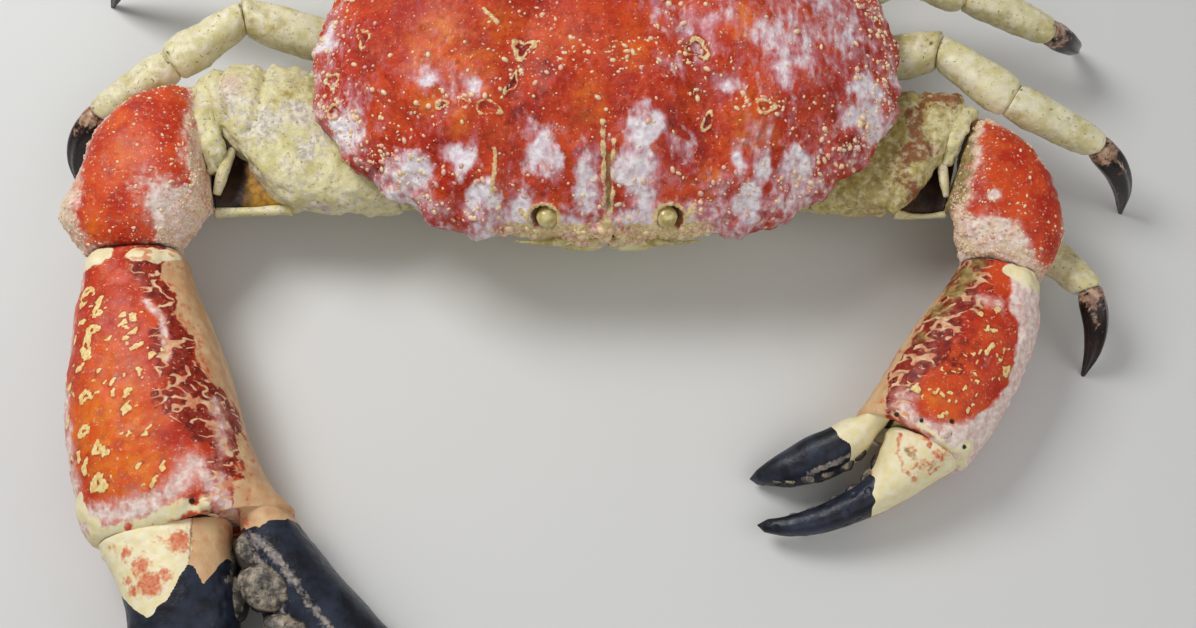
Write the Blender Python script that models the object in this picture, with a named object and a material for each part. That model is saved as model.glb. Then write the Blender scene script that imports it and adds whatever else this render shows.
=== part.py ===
"""Giant deep-water crab, life size, lying on its belly with both claws laid forward.

The crab faces -Y and its own left side is +X. The floor is z = 0 and the origin is on the flat of
the folded tail, under the middle of the shell. Every size is in metres.
"""

import math
import random

import bmesh
import bpy
from mathutils import Vector

# Shell, seen from above: half width, middle line of the widest part, reach to front and back.
SHELL_HALF_WIDTH = 0.174
SHELL_WIDEST_Y = -0.012
SHELL_FRONT_REACH = 0.112
SHELL_BACK_REACH = 0.140
SHELL_FRONT_POWER = 2.3
SHELL_BACK_POWER = 1.85
SHELL_TOP_Z = 0.131
DOME_FULLNESS = 2.3
DOME_SHOULDER = 0.72
RIM_THICKNESS = 0.006
RIM_FRONT_Z = 0.074
RIM_SIDE_Z = 0.084
RIM_BACK_Z = 0.070

# The flat where the shell sits on the chest, and the belly under it.
SEAT_HALF_WIDTH = 0.108
SEAT_FRONT_REACH = 0.096
SEAT_BACK_REACH = 0.112
SEAT_Z = 0.046
BELLY_HALF_WIDTH = 0.062
BELLY_FRONT_REACH = 0.058
BELLY_BACK_REACH = 0.088
BELLY_Z = 0.005

GAP = 0.0003
HALF_GAP = GAP / 2

SHELL_SIDES = 64
CHEST_SIDES = 32

# Swellings of the shell: x, y, height, spread across, spread along. Each is mirrored.
SHELL_SWELLINGS = (
    (0.026, -0.064, 0.0050, 0.020, 0.022),
    (0.014, -0.094, 0.0030, 0.012, 0.014),
    (0.000, -0.018, 0.0030, 0.024, 0.026),
    (0.000, 0.046, 0.0040, 0.026, 0.024),
    (0.098, 0.002, 0.0110, 0.044, 0.042),
    (0.114, -0.052, 0.0060, 0.026, 0.014),
    (0.084, -0.076, 0.0060, 0.022, 0.013),
    (0.074, -0.104, 0.0060, 0.015, 0.011),
    (0.108, -0.088, 0.0040, 0.012, 0.010),
    (0.070, 0.072, 0.0060, 0.034, 0.032),
)
# The furrow between the stomach region and the gill regions, as points of one side.
FURROW = ((0.054, -0.092), (0.052, -0.072), (0.051, -0.050), (0.048, -0.028), (0.040, -0.006), (0.029, 0.018))
FURROW_DEPTH = 0.0042
FURROW_SPREAD = 0.010

# Lobes of the shell's edge: bearing in degrees from straight ahead, reach, spread in degrees.
EDGE_LOBES = (
    (34.0, 0.0085, 4.2),
    (43.5, 0.0095, 5.0),
    (54.5, 0.0050, 2.8),
    (65.0, 0.0035, 3.4),
    (76.5, 0.0035, 3.6),
)

# The face under the brow: how wide it is, and how upright it stands.
FACE_HALF_WIDTH = 0.062

# Knobs on the shell.
KNOB_COUNT = 64
KNOB_RADIUS = 0.0024
KNOB_SEED = 11

# Eyes and the sockets that hold them.
EYE_X = 0.034
EYE_Y = -0.117
EYE_Z = 0.083
EYE_STALK_RADIUS = 0.0042
EYE_STALK_LENGTH = 0.015
# Along the stalk and over the eye: share of the stalk's length, share of its radius.
EYE_PROFILE = (
    (0.0, 1.0),
    (0.35, 1.0),
    (0.62, 1.25),
    (0.86, 1.60),
    (1.06, 1.58),
    (1.25, 1.25),
    (1.38, 0.72),
)
EYE_TIP_SHARE = 1.43
ORBIT_RADIUS = 0.0090

# Coat colours as linear red, green, blue, with roughness.
SHELL_RED = (0.52, 0.055, 0.02, 0.38)
CREAM = (0.62, 0.50, 0.26, 0.5)
CLAW_RED = (0.60, 0.11, 0.03, 0.35)
CLAW_BLACK = (0.012, 0.013, 0.022, 0.25)
TIP_BROWN = (0.03, 0.012, 0.01, 0.3)


def clear_scene():
    for old in list(bpy.data.objects):
        bpy.data.objects.remove(old, do_unlink=True)


def coat(name, look):
    """A plain shell material with one colour."""
    material = bpy.data.materials.new(name)
    material.use_nodes = True
    shader = material.node_tree.nodes["Principled BSDF"]
    shader.inputs["Base Color"].default_value = (*look[:3], 1.0)
    shader.inputs["Roughness"].default_value = look[3]
    shader.inputs["Metallic"].default_value = 0.0
    return material


def finish_object(name, work, collection, look=None):
    """Turns a bmesh into a closed, outward-facing object of the collection."""
    bmesh.ops.recalc_face_normals(work, faces=work.faces)
    if work.calc_volume(signed=True) < 0:
        bmesh.ops.reverse_faces(work, faces=work.faces)
    mesh = bpy.data.meshes.new(name)
    work.to_mesh(mesh)
    work.free()
    made = bpy.data.objects.new(name, mesh)
    collection.objects.link(made)
    if look:
        mesh.materials.append(coat(name, look))
    mesh.shade_smooth()
    return made


def power_wave(value, power):
    """A cosine or sine drawn out to a fuller, squarer curve as the power rises above 2."""
    return math.copysign(abs(value) ** (2.0 / power), value)


def section(centre, across, rise, fall, power=2.2):
    """One cross-section of a limb: its middle, half width as a vector, and reach up and down."""
    return {
        "centre": Vector(centre),
        "across": Vector(across),
        "rise": Vector(rise),
        "fall": Vector(fall),
        "power": power,
    }


def section_point(ring, angle):
    side = power_wave(math.cos(angle), ring["power"])
    lift = power_wave(math.sin(angle), ring["power"])
    vertical = ring["rise"] * lift if lift > 0 else ring["fall"] * lift
    return ring["centre"] + ring["across"] * side + vertical


def plan_section(edge_a, edge_b, low, high, power=2.3):
    """A cross-section that stands upright between two points of the plan view."""
    a = Vector((*edge_a, 0.0))
    b = Vector((*edge_b, 0.0))
    middle = (low + high) / 2
    centre = (a + b) / 2 + Vector((0, 0, middle))
    half_height = Vector((0, 0, (high - low) / 2))
    return section(centre, (b - a) / 2, half_height, half_height, power)


def sphere_grid(sides, rings):
    """A sphere whose vertices are told apart by ring, counted from one pole, and by angle round it."""
    work = bmesh.new()
    bmesh.ops.create_uvsphere(work, u_segments=sides, v_segments=rings + 1, radius=1.0)
    places = {}
    for vertex in work.verts:
        latitude = math.acos(max(-1.0, min(1.0, vertex.co.z)))
        ring = round(latitude / math.pi * (rings + 1))
        angle = math.atan2(vertex.co.y, vertex.co.x)
        places[vertex] = (ring, angle)
    return work, places


def limb(name, sections, sides, collection, look=None, tip=None, floor=False):
    """A closed form through the sections, flat at the first and at the last, or pointed at the tip."""
    work, places = sphere_grid(sides, len(sections))
    last = len(sections) + 1
    for vertex, (ring, angle) in places.items():
        if ring == 0:
            vertex.co = sections[0]["centre"]
        elif ring == last:
            vertex.co = Vector(tip) if tip else sections[-1]["centre"]
        else:
            vertex.co = section_point(sections[ring - 1], angle)
        if floor and vertex.co.z < 0:
            vertex.co.z = 0.0
    return finish_object(name, work, collection, look)


def grown_copy(source, collection, by=GAP):
    """A copy of a node swollen by the gap, to cut a neighbour clear of it."""
    copy = source.copy()
    copy.data = source.data.copy()
    copy.name = source.name + "_cutter"
    collection.objects.link(copy)
    normals = [vertex.normal.copy() for vertex in copy.data.vertices]
    for vertex, normal in zip(copy.data.vertices, normals):
        vertex.co += normal * by
    copy.hide_render = True
    copy.display_type = "WIRE"
    return copy


def apply_boolean(target, operation, solver, cutter=None, collection=None):
    modifier = target.modifiers.new("shape", "BOOLEAN")
    modifier.operation = operation
    modifier.solver = solver
    if cutter:
        modifier.object = cutter
    else:
        modifier.operand_type = "COLLECTION"
        modifier.collection = collection
    bpy.context.view_layer.update()
    evaluated = target.evaluated_get(bpy.context.evaluated_depsgraph_get())
    shaped = bpy.data.meshes.new_from_object(evaluated)
    target.modifiers.clear()
    old = target.data
    target.data = shaped
    bpy.data.meshes.remove(old)


def cut(target, cutters, solver="EXACT"):
    for cutter in cutters:
        apply_boolean(target, "DIFFERENCE", solver, cutter=cutter)
    keep_largest(target)


def join_pieces(target, pieces, solver="EXACT"):
    """Fuses closed pieces into the target with one union, then removes them."""
    group = bpy.data.collections.new(target.name + "_pieces")
    bpy.context.scene.collection.children.link(group)
    for piece in pieces:
        for home in list(piece.users_collection):
            home.objects.unlink(piece)
        group.objects.link(piece)
    apply_boolean(target, "UNION", solver, collection=group)
    for piece in pieces:
        bpy.data.objects.remove(piece, do_unlink=True)
    bpy.data.collections.remove(group)
    keep_largest(target)


def keep_largest(target):
    """Drops every closed surface of the object but the largest."""
    work = bmesh.new()
    work.from_mesh(target.data)
    seen = set()
    islands = []
    for start in work.verts:
        if start in seen:
            continue
        seen.add(start)
        island = [start]
        for vertex in island:
            for edge in vertex.link_edges:
                other = edge.other_vert(vertex)
                if other not in seen:
                    seen.add(other)
                    island.append(other)
        islands.append(island)
    islands.sort(key=len)
    spare = [vertex for island in islands[:-1] for vertex in island]
    bmesh.ops.delete(work, geom=spare, context="VERTS")
    bmesh.ops.triangulate(work, faces=work.faces)
    work.to_mesh(target.data)
    work.free()
    target.data.shade_smooth()


def edge_lobe(bearing):
    """How far the shell's edge stands out at a bearing from straight ahead."""
    degrees = abs(math.degrees(bearing))
    return sum(reach * math.exp(-(((degrees - place) / spread) ** 2)) for place, reach, spread in EDGE_LOBES)


def outline_point(angle, half_width, front_reach, back_reach, lobed=False):
    """A point on an egg-shaped loop, with the angle measured from straight ahead, to the crab's left."""
    ahead = math.cos(angle)
    power = SHELL_FRONT_POWER if ahead > 0 else SHELL_BACK_POWER
    reach = front_reach if ahead > 0 else back_reach
    x = half_width * power_wave(math.sin(angle), power)
    y = -reach * power_wave(ahead, power)
    stretch = 1.0
    if lobed:
        stretch += edge_lobe(math.atan2(x, -y)) / math.hypot(x, y)
    return Vector((x * stretch, SHELL_WIDEST_Y + y * stretch, 0.0))


def shell_rim(angle):
    return outline_point(angle, SHELL_HALF_WIDTH, SHELL_FRONT_REACH, SHELL_BACK_REACH, lobed=True)


def rim_z(angle):
    ahead = math.cos(angle)
    end = RIM_FRONT_Z if ahead > 0 else RIM_BACK_Z
    return RIM_SIDE_Z + (end - RIM_SIDE_Z) * ahead * ahead


def swelling(x, y):
    """The height of the shell's regions above its plain dome."""
    height = 0.0
    for sx, sy, lift, wide, deep in SHELL_SWELLINGS:
        for side in {sx, -sx}:
            height += lift * math.exp(-(((x - side) / wide) ** 2) - ((y - sy) / deep) ** 2)
    nearest = min((abs(x) - fx) ** 2 + (y - fy) ** 2 for fx, fy in FURROW)
    return height - FURROW_DEPTH * math.exp(-nearest / FURROW_SPREAD**2)


def shell_top(share, angle):
    """A point of the shell's upper side: share is 0 at the crown and 1 at the edge."""
    rim = shell_rim(angle)
    crown = Vector((0.0, SHELL_WIDEST_Y, 0.0))
    point = crown.lerp(rim, share)
    low = rim_z(angle)
    dome = (1.0 - share**DOME_FULLNESS) ** DOME_SHOULDER
    point.z = low + (SHELL_TOP_Z - low) * dome + swelling(point.x, point.y) * (1.0 - share**6)
    return point


def face_share(x, angle):
    """1 in the middle of the face, falling to 0 at its sides and everywhere behind."""
    return math.exp(-((x / FACE_HALF_WIDTH) ** 4)) * (math.cos(angle) > 0)


def shell_under(share, angle):
    """A point of the shell's lower side: share is 0 at the edge and 1 at the seat on the chest."""
    rim = shell_rim(angle)
    seat = outline_point(angle, SEAT_HALF_WIDTH, SEAT_FRONT_REACH, SEAT_BACK_REACH)
    face = face_share(rim.x, angle)
    point = rim.lerp(seat, share ** (1.0 + 1.6 * face))
    low = rim_z(angle) - RIM_THICKNESS
    point.z = low + (SEAT_Z - low) * share ** (2.2 - 1.2 * face)
    return point


TOP_RINGS = 13
UNDER_SHARES = (0.04, 0.30, 0.66, 1.0)


def make_shell(collection):
    """The bare carapace: a dome with its regions, tucked in below its edge and flat on the chest."""
    rings = TOP_RINGS + len(UNDER_SHARES)
    work, places = sphere_grid(SHELL_SIDES, rings)
    for vertex, (ring, angle) in places.items():
        if ring == 0:
            vertex.co = shell_top(0.0, 0.0)
        elif ring <= TOP_RINGS:
            vertex.co = shell_top(math.sin(ring / TOP_RINGS * math.pi / 2) ** 0.9, angle)
        elif ring <= rings:
            vertex.co = shell_under(UNDER_SHARES[ring - TOP_RINGS - 1], angle)
        else:
            vertex.co = Vector((0.0, SHELL_WIDEST_Y, SEAT_Z))
    return finish_object("carapace", work, collection, SHELL_RED)


def ray_height(shell, x, y):
    """The height and slope of an object's top at a place of the plan view."""
    hit, place, normal, _ = shell.ray_cast(Vector((x, y, 0.3)), Vector((0, 0, -1)))
    return (place, normal) if hit else (None, None)


def make_knob(place, normal, radius, height, collection):
    """A low rounded knob sunk into the surface below it."""
    work = bmesh.new()
    bmesh.ops.create_cone(
        work, cap_ends=True, segments=5, radius1=radius, radius2=radius * 0.35, depth=height * 2
    )
    turn = Vector((0, 0, 1)).rotation_difference(normal)
    for vertex in work.verts:
        vertex.co = place + turn @ vertex.co
    return finish_object("knob", work, collection)


def shell_knobs(shell, collection):
    """Knobs set in seeded random places, thickest over the stomach region and near the edge."""
    draw = random.Random(KNOB_SEED)
    knobs = []
    while len(knobs) < KNOB_COUNT:
        share = draw.uniform(0.12, 0.93)
        angle = draw.uniform(-math.pi, math.pi)
        spot = shell_top(share, angle)
        crowded = math.exp(-((spot.x / 0.045) ** 2)) * (spot.y > -0.06) + (share > 0.72)
        if draw.random() > 0.25 + 0.75 * min(1.0, crowded):
            continue
        if abs(abs(spot.x) - EYE_X) < 0.016 and spot.y < -0.09:
            continue
        place, normal = ray_height(shell, spot.x, spot.y)
        size = KNOB_RADIUS * draw.uniform(0.7, 1.35)
        knobs.append(make_knob(place, normal, size, size * 0.75, collection))
    return knobs


# Teeth of the brow between the eyes: x, y, z, half width, reach.
BROW_TEETH = ((0.0062, -0.1215, 0.0765, 0.0050, 0.0080), (0.0185, -0.1205, 0.0775, 0.0050, 0.0070))
BROW_TOOTH_FLATNESS = 0.8


def brow_teeth(collection):
    """Four blunt teeth between the eyes, pointing ahead and a little down."""
    teeth = []
    for x, y, z, half, reach in BROW_TEETH:
        for side in (-1, 1):
            root = Vector((side * x, y + 0.012, z + 0.002))
            end = Vector((side * x, y - reach * 0.5, z - 0.002))
            along = end - root
            rings = []
            for share, size in ((0.0, 1.0), (0.45, 0.95), (0.8, 0.7), (1.0, 0.35)):
                lift = (0, 0, half * BROW_TOOTH_FLATNESS * size)
                rings.append(section(root + along * share, (half * size, 0, 0), lift, lift))
            teeth.append(limb("brow_tooth", rings, 6, collection))
    return teeth


# How the chest narrows from the shell's seat to the belly: share of the drop, share of the way in.
CHEST_PROFILE = ((0.0, 0.0), (0.14, 0.24), (0.36, 0.62), (0.70, 0.86), (1.0, 1.0))


def make_chest(collection, scraps):
    """The lower body: the flat seat of the shell, sides that slope in, the belly and the legs' hips."""
    work, places = sphere_grid(CHEST_SIDES, len(CHEST_PROFILE))
    top = SEAT_Z - GAP
    for vertex, (ring, angle) in places.items():
        if ring == 0:
            vertex.co = Vector((0.0, SHELL_WIDEST_Y, top))
            continue
        if ring > len(CHEST_PROFILE):
            vertex.co = Vector((0.0, SHELL_WIDEST_Y, BELLY_Z))
            continue
        drop, inward = CHEST_PROFILE[ring - 1]
        seat = outline_point(angle, SEAT_HALF_WIDTH, SEAT_FRONT_REACH, SEAT_BACK_REACH)
        inward += (drop - inward) * face_share(seat.x, angle)
        belly = outline_point(angle, BELLY_HALF_WIDTH, BELLY_FRONT_REACH, BELLY_BACK_REACH)
        point = seat.lerp(belly, inward)
        point.z = top + (BELLY_Z - top) * drop
        vertex.co = point
    chest = finish_object("thorax", work, collection, CREAM)
    join_pieces(chest, [make_hip(name, scraps) for name in LEG_JOINTS])
    return chest


# The folded tail from its tip under the belly to its root behind: y, z of its middle, half width.
TAIL_PATH = (
    (-0.050, 0.0020, 0.0050),
    (-0.038, 0.0020, 0.0100),
    (-0.010, 0.0020, 0.0135),
    (0.020, 0.0020, 0.0160),
    (0.048, 0.0020, 0.0215),
    (0.068, 0.0028, 0.0250),
    (0.079, 0.0070, 0.0275),
    (0.0865, 0.0160, 0.0285),
    (0.0910, 0.0270, 0.0285),
    (0.0985, 0.0375, 0.0280),
)
TAIL_HALF_THICKNESS = 0.0024


def make_tail(collection):
    """The tail of a male: a narrow plate folded under the belly and wrapped up behind it."""
    rings = []
    for index, (y, z, half) in enumerate(TAIL_PATH):
        before = TAIL_PATH[max(0, index - 1)]
        after = TAIL_PATH[min(len(TAIL_PATH) - 1, index + 1)]
        along = Vector((0, after[0] - before[0], after[1] - before[1])).normalized()
        thick = Vector((0, -along.z, along.y)) * TAIL_HALF_THICKNESS
        rings.append(section((0, y, z), (half, 0, 0), thick, thick, 5.0))
    return limb("abdomen", rings, 12, collection, CREAM, floor=True)


def make_eye(side, collection):
    """A short stalk that leans out and ahead of the socket, with the rounded eye on its end."""
    centre = Vector((side * EYE_X, EYE_Y, EYE_Z))
    inward = Vector((-side * 0.30, 0.85, -0.42)).normalized()
    root = centre + inward * EYE_STALK_LENGTH
    across = inward.cross(Vector((0, 0, 1))).normalized()
    rise = across.cross(inward)
    rings = []
    for share, size in EYE_PROFILE:
        radius = EYE_STALK_RADIUS * size
        rings.append(section(root.lerp(centre, share), across * radius, rise * radius, rise * radius, 2.0))
    name = "eye_left" if side > 0 else "eye_right"
    tip = root.lerp(centre, EYE_TIP_SHARE)
    return limb(name, rings, 12, collection, CREAM, tip=tip)


def make_orbit(side, collection):
    work = bmesh.new()
    bmesh.ops.create_uvsphere(work, u_segments=14, v_segments=9, radius=ORBIT_RADIUS)
    centre = Vector((side * EYE_X, EYE_Y - 0.001, EYE_Z + 0.001))
    for vertex in work.verts:
        vertex.co += centre
    orbit = finish_object("orbit", work, collection)
    orbit.hide_render = True
    orbit.display_type = "WIRE"
    return orbit


def point_sections(path, power=2.0):
    """Round sections along a path of (x, y, z, radius)."""
    rings = []
    for index, (x, y, z, radius) in enumerate(path):
        before = Vector(path[max(0, index - 1)][:3])
        after = Vector(path[min(len(path) - 1, index + 1)][:3])
        along = (after - before).normalized()
        across = along.cross(Vector((0, 0, 1))).normalized()
        rise = across.cross(along)
        rings.append(section((x, y, z), across * radius, rise * radius, rise * radius, power))
    return rings


def make_feeler(side, collection):
    """The second feeler: a stout base under the eye and a short lash that lies along the face."""
    path = (
        (side * 0.020, -0.1120, 0.0650, 0.0034),
        (side * 0.022, -0.1215, 0.0655, 0.0034),
        (side * 0.027, -0.1255, 0.0662, 0.0026),
        (side * 0.034, -0.1268, 0.0672, 0.0017),
        (side * 0.043, -0.1275, 0.0680, 0.0012),
        (side * 0.053, -0.1270, 0.0685, 0.0008),
    )
    name = "antenna_left" if side > 0 else "antenna_right"
    return limb(name, point_sections(path), 8, collection, CREAM)


def make_small_feeler(side, collection):
    """The first feeler, folded beside the middle of the face."""
    path = (
        (side * 0.0075, -0.1120, 0.0655, 0.0026),
        (side * 0.0080, -0.1210, 0.0662, 0.0026),
        (side * 0.0075, -0.1245, 0.0675, 0.0022),
        (side * 0.0055, -0.1270, 0.0690, 0.0014),
    )
    name = "antennule_left" if side > 0 else "antennule_right"
    return limb(name, point_sections(path), 8, collection, CREAM)


def make_mouth_leg(side, collection):
    """The third maxilliped: a broad plate that closes one half of the mouth."""
    rings = []
    for y, z, inner, outer, thick in (
        (-0.1225, 0.0565, 0.0050, 0.0200, 0.0026),
        (-0.1180, 0.0495, 0.0012, 0.0270, 0.0046),
        (-0.1085, 0.0390, 0.0012, 0.0280, 0.0052),
        (-0.0990, 0.0290, 0.0012, 0.0260, 0.0052),
        (-0.0890, 0.0190, 0.0012, 0.0215, 0.0048),
        (-0.0810, 0.0120, 0.0015, 0.0150, 0.0036),
    ):
        normal = Vector((0, -0.80, -0.60)) * thick
        centre = (side * (inner + outer) / 2, y, z)
        rings.append(section(centre, ((outer - inner) / 2, 0, 0), normal, normal, 2.8))
    name = "maxilliped_left" if side > 0 else "maxilliped_right"
    return limb(name, rings, 12, collection, CREAM)


def moved(point, direction, by):
    return (point[0] + direction[0] * by, point[1] + direction[1] * by)


def face_normal(edge_a, edge_b, towards):
    """The level direction square to the line a-b, pointing towards a point."""
    line = Vector((edge_b[0] - edge_a[0], edge_b[1] - edge_a[1]))
    normal = Vector((-line.y, line.x)).normalized()
    if normal.dot(Vector(towards) - Vector(edge_a)) < 0:
        normal.negate()
    return normal


def plan_limb(name, rows, sides, collection, look, tip=None, power=2.3):
    """A limb whose sections stand between plan points, with half a gap taken off both of its joint faces."""
    rings = []
    last = len(rows) - 1
    for index, (edge_a, edge_b, low, high) in enumerate(rows):
        if index in (0, last) and not (index == last and tip):
            neighbour = rows[1] if index == 0 else rows[last - 1]
            middle = (
                (neighbour[0][0] + neighbour[1][0]) / 2,
                (neighbour[0][1] + neighbour[1][1]) / 2,
            )
            inward = face_normal(edge_a, edge_b, middle)
            edge_a = moved(edge_a, inward, HALF_GAP)
            edge_b = moved(edge_b, inward, HALF_GAP)
        rings.append(plan_section(edge_a, edge_b, low, high, power))
    return limb(name, rings, sides, collection, look, tip=tip, floor=True)


# The crusher claw, the crab's right. Rows are plan points a and b, low and high.
CRUSHER = {
    "side": "right",
    "hip": (
        ((-0.074, -0.086), (-0.074, -0.036), 0.028, 0.054),
        ((-0.100, -0.090), (-0.100, -0.028), 0.028, 0.058),
        ((-0.124, -0.093), (-0.124, -0.020), 0.029, 0.062),
    ),
    "merus": (
        ((-0.124, -0.093), (-0.124, -0.020), 0.029, 0.062),
        ((-0.140, -0.096), (-0.142, -0.013), 0.030, 0.068),
        ((-0.165, -0.097), (-0.172, -0.009), 0.032, 0.073),
        ((-0.192, -0.096), (-0.204, -0.007), 0.033, 0.077),
        ((-0.222, -0.0970), (-0.2430, -0.0085), 0.034, 0.078),
        ((-0.2340, -0.0980), (-0.2465, -0.0190), 0.038, 0.072),
    ),
    "carpus": (
        ((-0.2465, -0.0190), (-0.2340, -0.0980), 0.038, 0.072),
        ((-0.2560, -0.0195), (-0.2342, -0.0992), 0.034, 0.081),
        ((-0.2750, -0.0245), (-0.2345, -0.1005), 0.033, 0.087),
        ((-0.2930, -0.0375), (-0.2350, -0.1020), 0.033, 0.090),
        ((-0.3045, -0.0560), (-0.2360, -0.1040), 0.033, 0.090),
        ((-0.3095, -0.0760), (-0.2380, -0.1070), 0.033, 0.088),
        ((-0.3140, -0.0930), (-0.2410, -0.1110), 0.032, 0.085),
        ((-0.3160, -0.1050), (-0.2450, -0.1155), 0.031, 0.082),
        ((-0.3110, -0.1190), (-0.2490, -0.1200), 0.030, 0.078),
        ((-0.3025, -0.1300), (-0.2500, -0.1245), 0.028, 0.073),
    ),
    "palm": (
        ((-0.3025, -0.1300), (-0.2500, -0.1245), 0.026, 0.070),
        ((-0.3045, -0.1470), (-0.2430, -0.1400), 0.018, 0.073),
        ((-0.3070, -0.1700), (-0.2310, -0.1650), 0.008, 0.077),
        ((-0.3070, -0.2000), (-0.2170, -0.1980), 0.001, 0.079),
        ((-0.3050, -0.2300), (-0.2060, -0.2280), -0.002, 0.079),
        ((-0.2990, -0.2580), (-0.1950, -0.2520), -0.002, 0.077),
        ((-0.2920, -0.2780), (-0.1850, -0.2660), 0.000, 0.074),
        ((-0.2810, -0.2980), (-0.1760, -0.2740), 0.004, 0.067),
    ),
    "finger_split": 0.70,
    "movable": (
        (0.015, 0.064),
        ((-0.2700, -0.3130), (-0.2060, -0.3020), 0.013, 0.065),
        ((-0.2600, -0.3330), (-0.2010, -0.3250), 0.011, 0.066),
        ((-0.2550, -0.3580), (-0.1980, -0.3520), 0.010, 0.062),
        ((-0.2500, -0.3840), (-0.1960, -0.3760), 0.010, 0.057),
        ((-0.2400, -0.4080), (-0.1930, -0.3950), 0.011, 0.050),
        ((-0.2240, -0.4270), (-0.1880, -0.4080), 0.013, 0.043),
        ((-0.2060, -0.4390), (-0.1820, -0.4200), 0.015, 0.037),
        ((-0.1920, -0.4430), (-0.1780, -0.4290), 0.018, 0.032),
    ),
    "movable_tip": (-0.1790, -0.4400, 0.024),
    "fixed": (
        (0.004, 0.058),
        ((-0.2010, -0.3010), (-0.1660, -0.2900), 0.000, 0.056),
        ((-0.1930, -0.3230), (-0.1480, -0.3110), -0.001, 0.054),
        ((-0.1800, -0.3480), (-0.1260, -0.3330), -0.001, 0.050),
        ((-0.1630, -0.3730), (-0.1070, -0.3540), -0.001, 0.046),
        ((-0.1470, -0.3940), (-0.0950, -0.3770), -0.001, 0.041),
        ((-0.1360, -0.4110), (-0.0920, -0.3990), 0.000, 0.035),
        ((-0.1300, -0.4240), (-0.0960, -0.4180), 0.002, 0.028),
        ((-0.1280, -0.4330), (-0.1080, -0.4310), 0.005, 0.021),
    ),
    "fixed_tip": (-0.1220, -0.4370, 0.013),
    # Teeth: share along the finger, radius, how far they stand out.
    "teeth": (
        (0.15, 0.0105, 0.003),
        (0.29, 0.0135, 0.005),
        (0.44, 0.0120, 0.005),
        (0.60, 0.0095, 0.004),
        (0.74, 0.0070, 0.003),
    ),
    "tooth_z": 0.036,
}

# The smaller claw, the crab's left.
CUTTER_CLAW = {
    "side": "left",
    "hip": (
        ((0.074, -0.086), (0.074, -0.042), 0.028, 0.052),
        ((0.100, -0.090), (0.100, -0.036), 0.028, 0.055),
        ((0.122, -0.093), (0.122, -0.030), 0.029, 0.058),
    ),
    "merus": (
        ((0.122, -0.093), (0.122, -0.030), 0.029, 0.058),
        ((0.136, -0.097), (0.139, -0.025), 0.031, 0.063),
        ((0.158, -0.099), (0.164, -0.023), 0.034, 0.067),
        ((0.178, -0.100), (0.190, -0.023), 0.035, 0.070),
        ((0.194, -0.098), (0.215, -0.026), 0.036, 0.071),
        ((0.2025, -0.0960), (0.2215, -0.0375), 0.039, 0.066),
    ),
    "carpus": (
        ((0.2215, -0.0375), (0.2025, -0.0960), 0.039, 0.066),
        ((0.2290, -0.0405), (0.2030, -0.0975), 0.037, 0.073),
        ((0.2430, -0.0515), (0.2035, -0.0990), 0.036, 0.079),
        ((0.2555, -0.0660), (0.2040, -0.1010), 0.035, 0.081),
        ((0.2635, -0.0840), (0.2045, -0.1040), 0.034, 0.081),
        ((0.2670, -0.1030), (0.2050, -0.1085), 0.033, 0.079),
        ((0.2660, -0.1200), (0.2060, -0.1170), 0.031, 0.076),
        ((0.2600, -0.1330), (0.2080, -0.1230), 0.029, 0.071),
        ((0.2530, -0.1415), (0.2100, -0.1285), 0.026, 0.064),
    ),
    "palm": (
        ((0.2530, -0.1415), (0.2100, -0.1285), 0.024, 0.062),
        ((0.2520, -0.1580), (0.2000, -0.1420), 0.016, 0.065),
        ((0.2480, -0.1790), (0.1830, -0.1620), 0.006, 0.066),
        ((0.2380, -0.2010), (0.1690, -0.1830), 0.000, 0.064),
        ((0.2260, -0.2220), (0.1570, -0.2000), -0.002, 0.061),
        ((0.2140, -0.2380), (0.1500, -0.2100), -0.001, 0.058),
        ((0.2010, -0.2500), (0.1450, -0.2160), 0.003, 0.055),
    ),
    "finger_split": 0.72,
    "movable": (
        (0.008, 0.051),
        ((0.1840, -0.2590), (0.1570, -0.2370), 0.008, 0.048),
        ((0.1680, -0.2680), (0.1520, -0.2480), 0.008, 0.044),
        ((0.1520, -0.2755), (0.1440, -0.2570), 0.008, 0.038),
        ((0.1340, -0.2815), (0.1310, -0.2645), 0.008, 0.032),
        ((0.1150, -0.2850), (0.1155, -0.2710), 0.008, 0.026),
        ((0.0990, -0.2850), (0.1010, -0.2745), 0.009, 0.021),
        ((0.0900, -0.2825), (0.0920, -0.2755), 0.010, 0.017),
    ),
    "movable_tip": (0.0860, -0.2785, 0.013),
    "fixed": (
        (0.003, 0.044),
        ((0.1500, -0.2370), (0.1370, -0.2200), 0.000, 0.042),
        ((0.1380, -0.2470), (0.1270, -0.2245), -0.001, 0.038),
        ((0.1230, -0.2530), (0.1150, -0.2290), -0.001, 0.033),
        ((0.1080, -0.2550), (0.1040, -0.2345), -0.001, 0.027),
        ((0.0960, -0.2540), (0.0940, -0.2405), 0.000, 0.021),
        ((0.0880, -0.2525), (0.0870, -0.2455), 0.002, 0.015),
    ),
    "fixed_tip": (0.0830, -0.2500, 0.008),
    "teeth": (
        (0.22, 0.0042, 0.003),
        (0.34, 0.0046, 0.003),
        (0.46, 0.0044, 0.003),
        (0.58, 0.0038, 0.002),
        (0.70, 0.0032, 0.002),
    ),
    "tooth_z": 0.021,
}


def along_rows(rows, share):
    """The plan edges of a finger at a share of its length."""
    place = share * (len(rows) - 1)
    index = min(int(place), len(rows) - 2)
    blend = place - index
    edges = []
    for edge in (0, 1):
        a = Vector(rows[index][edge])
        b = Vector(rows[index + 1][edge])
        edges.append(a.lerp(b, blend))
    return edges


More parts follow.
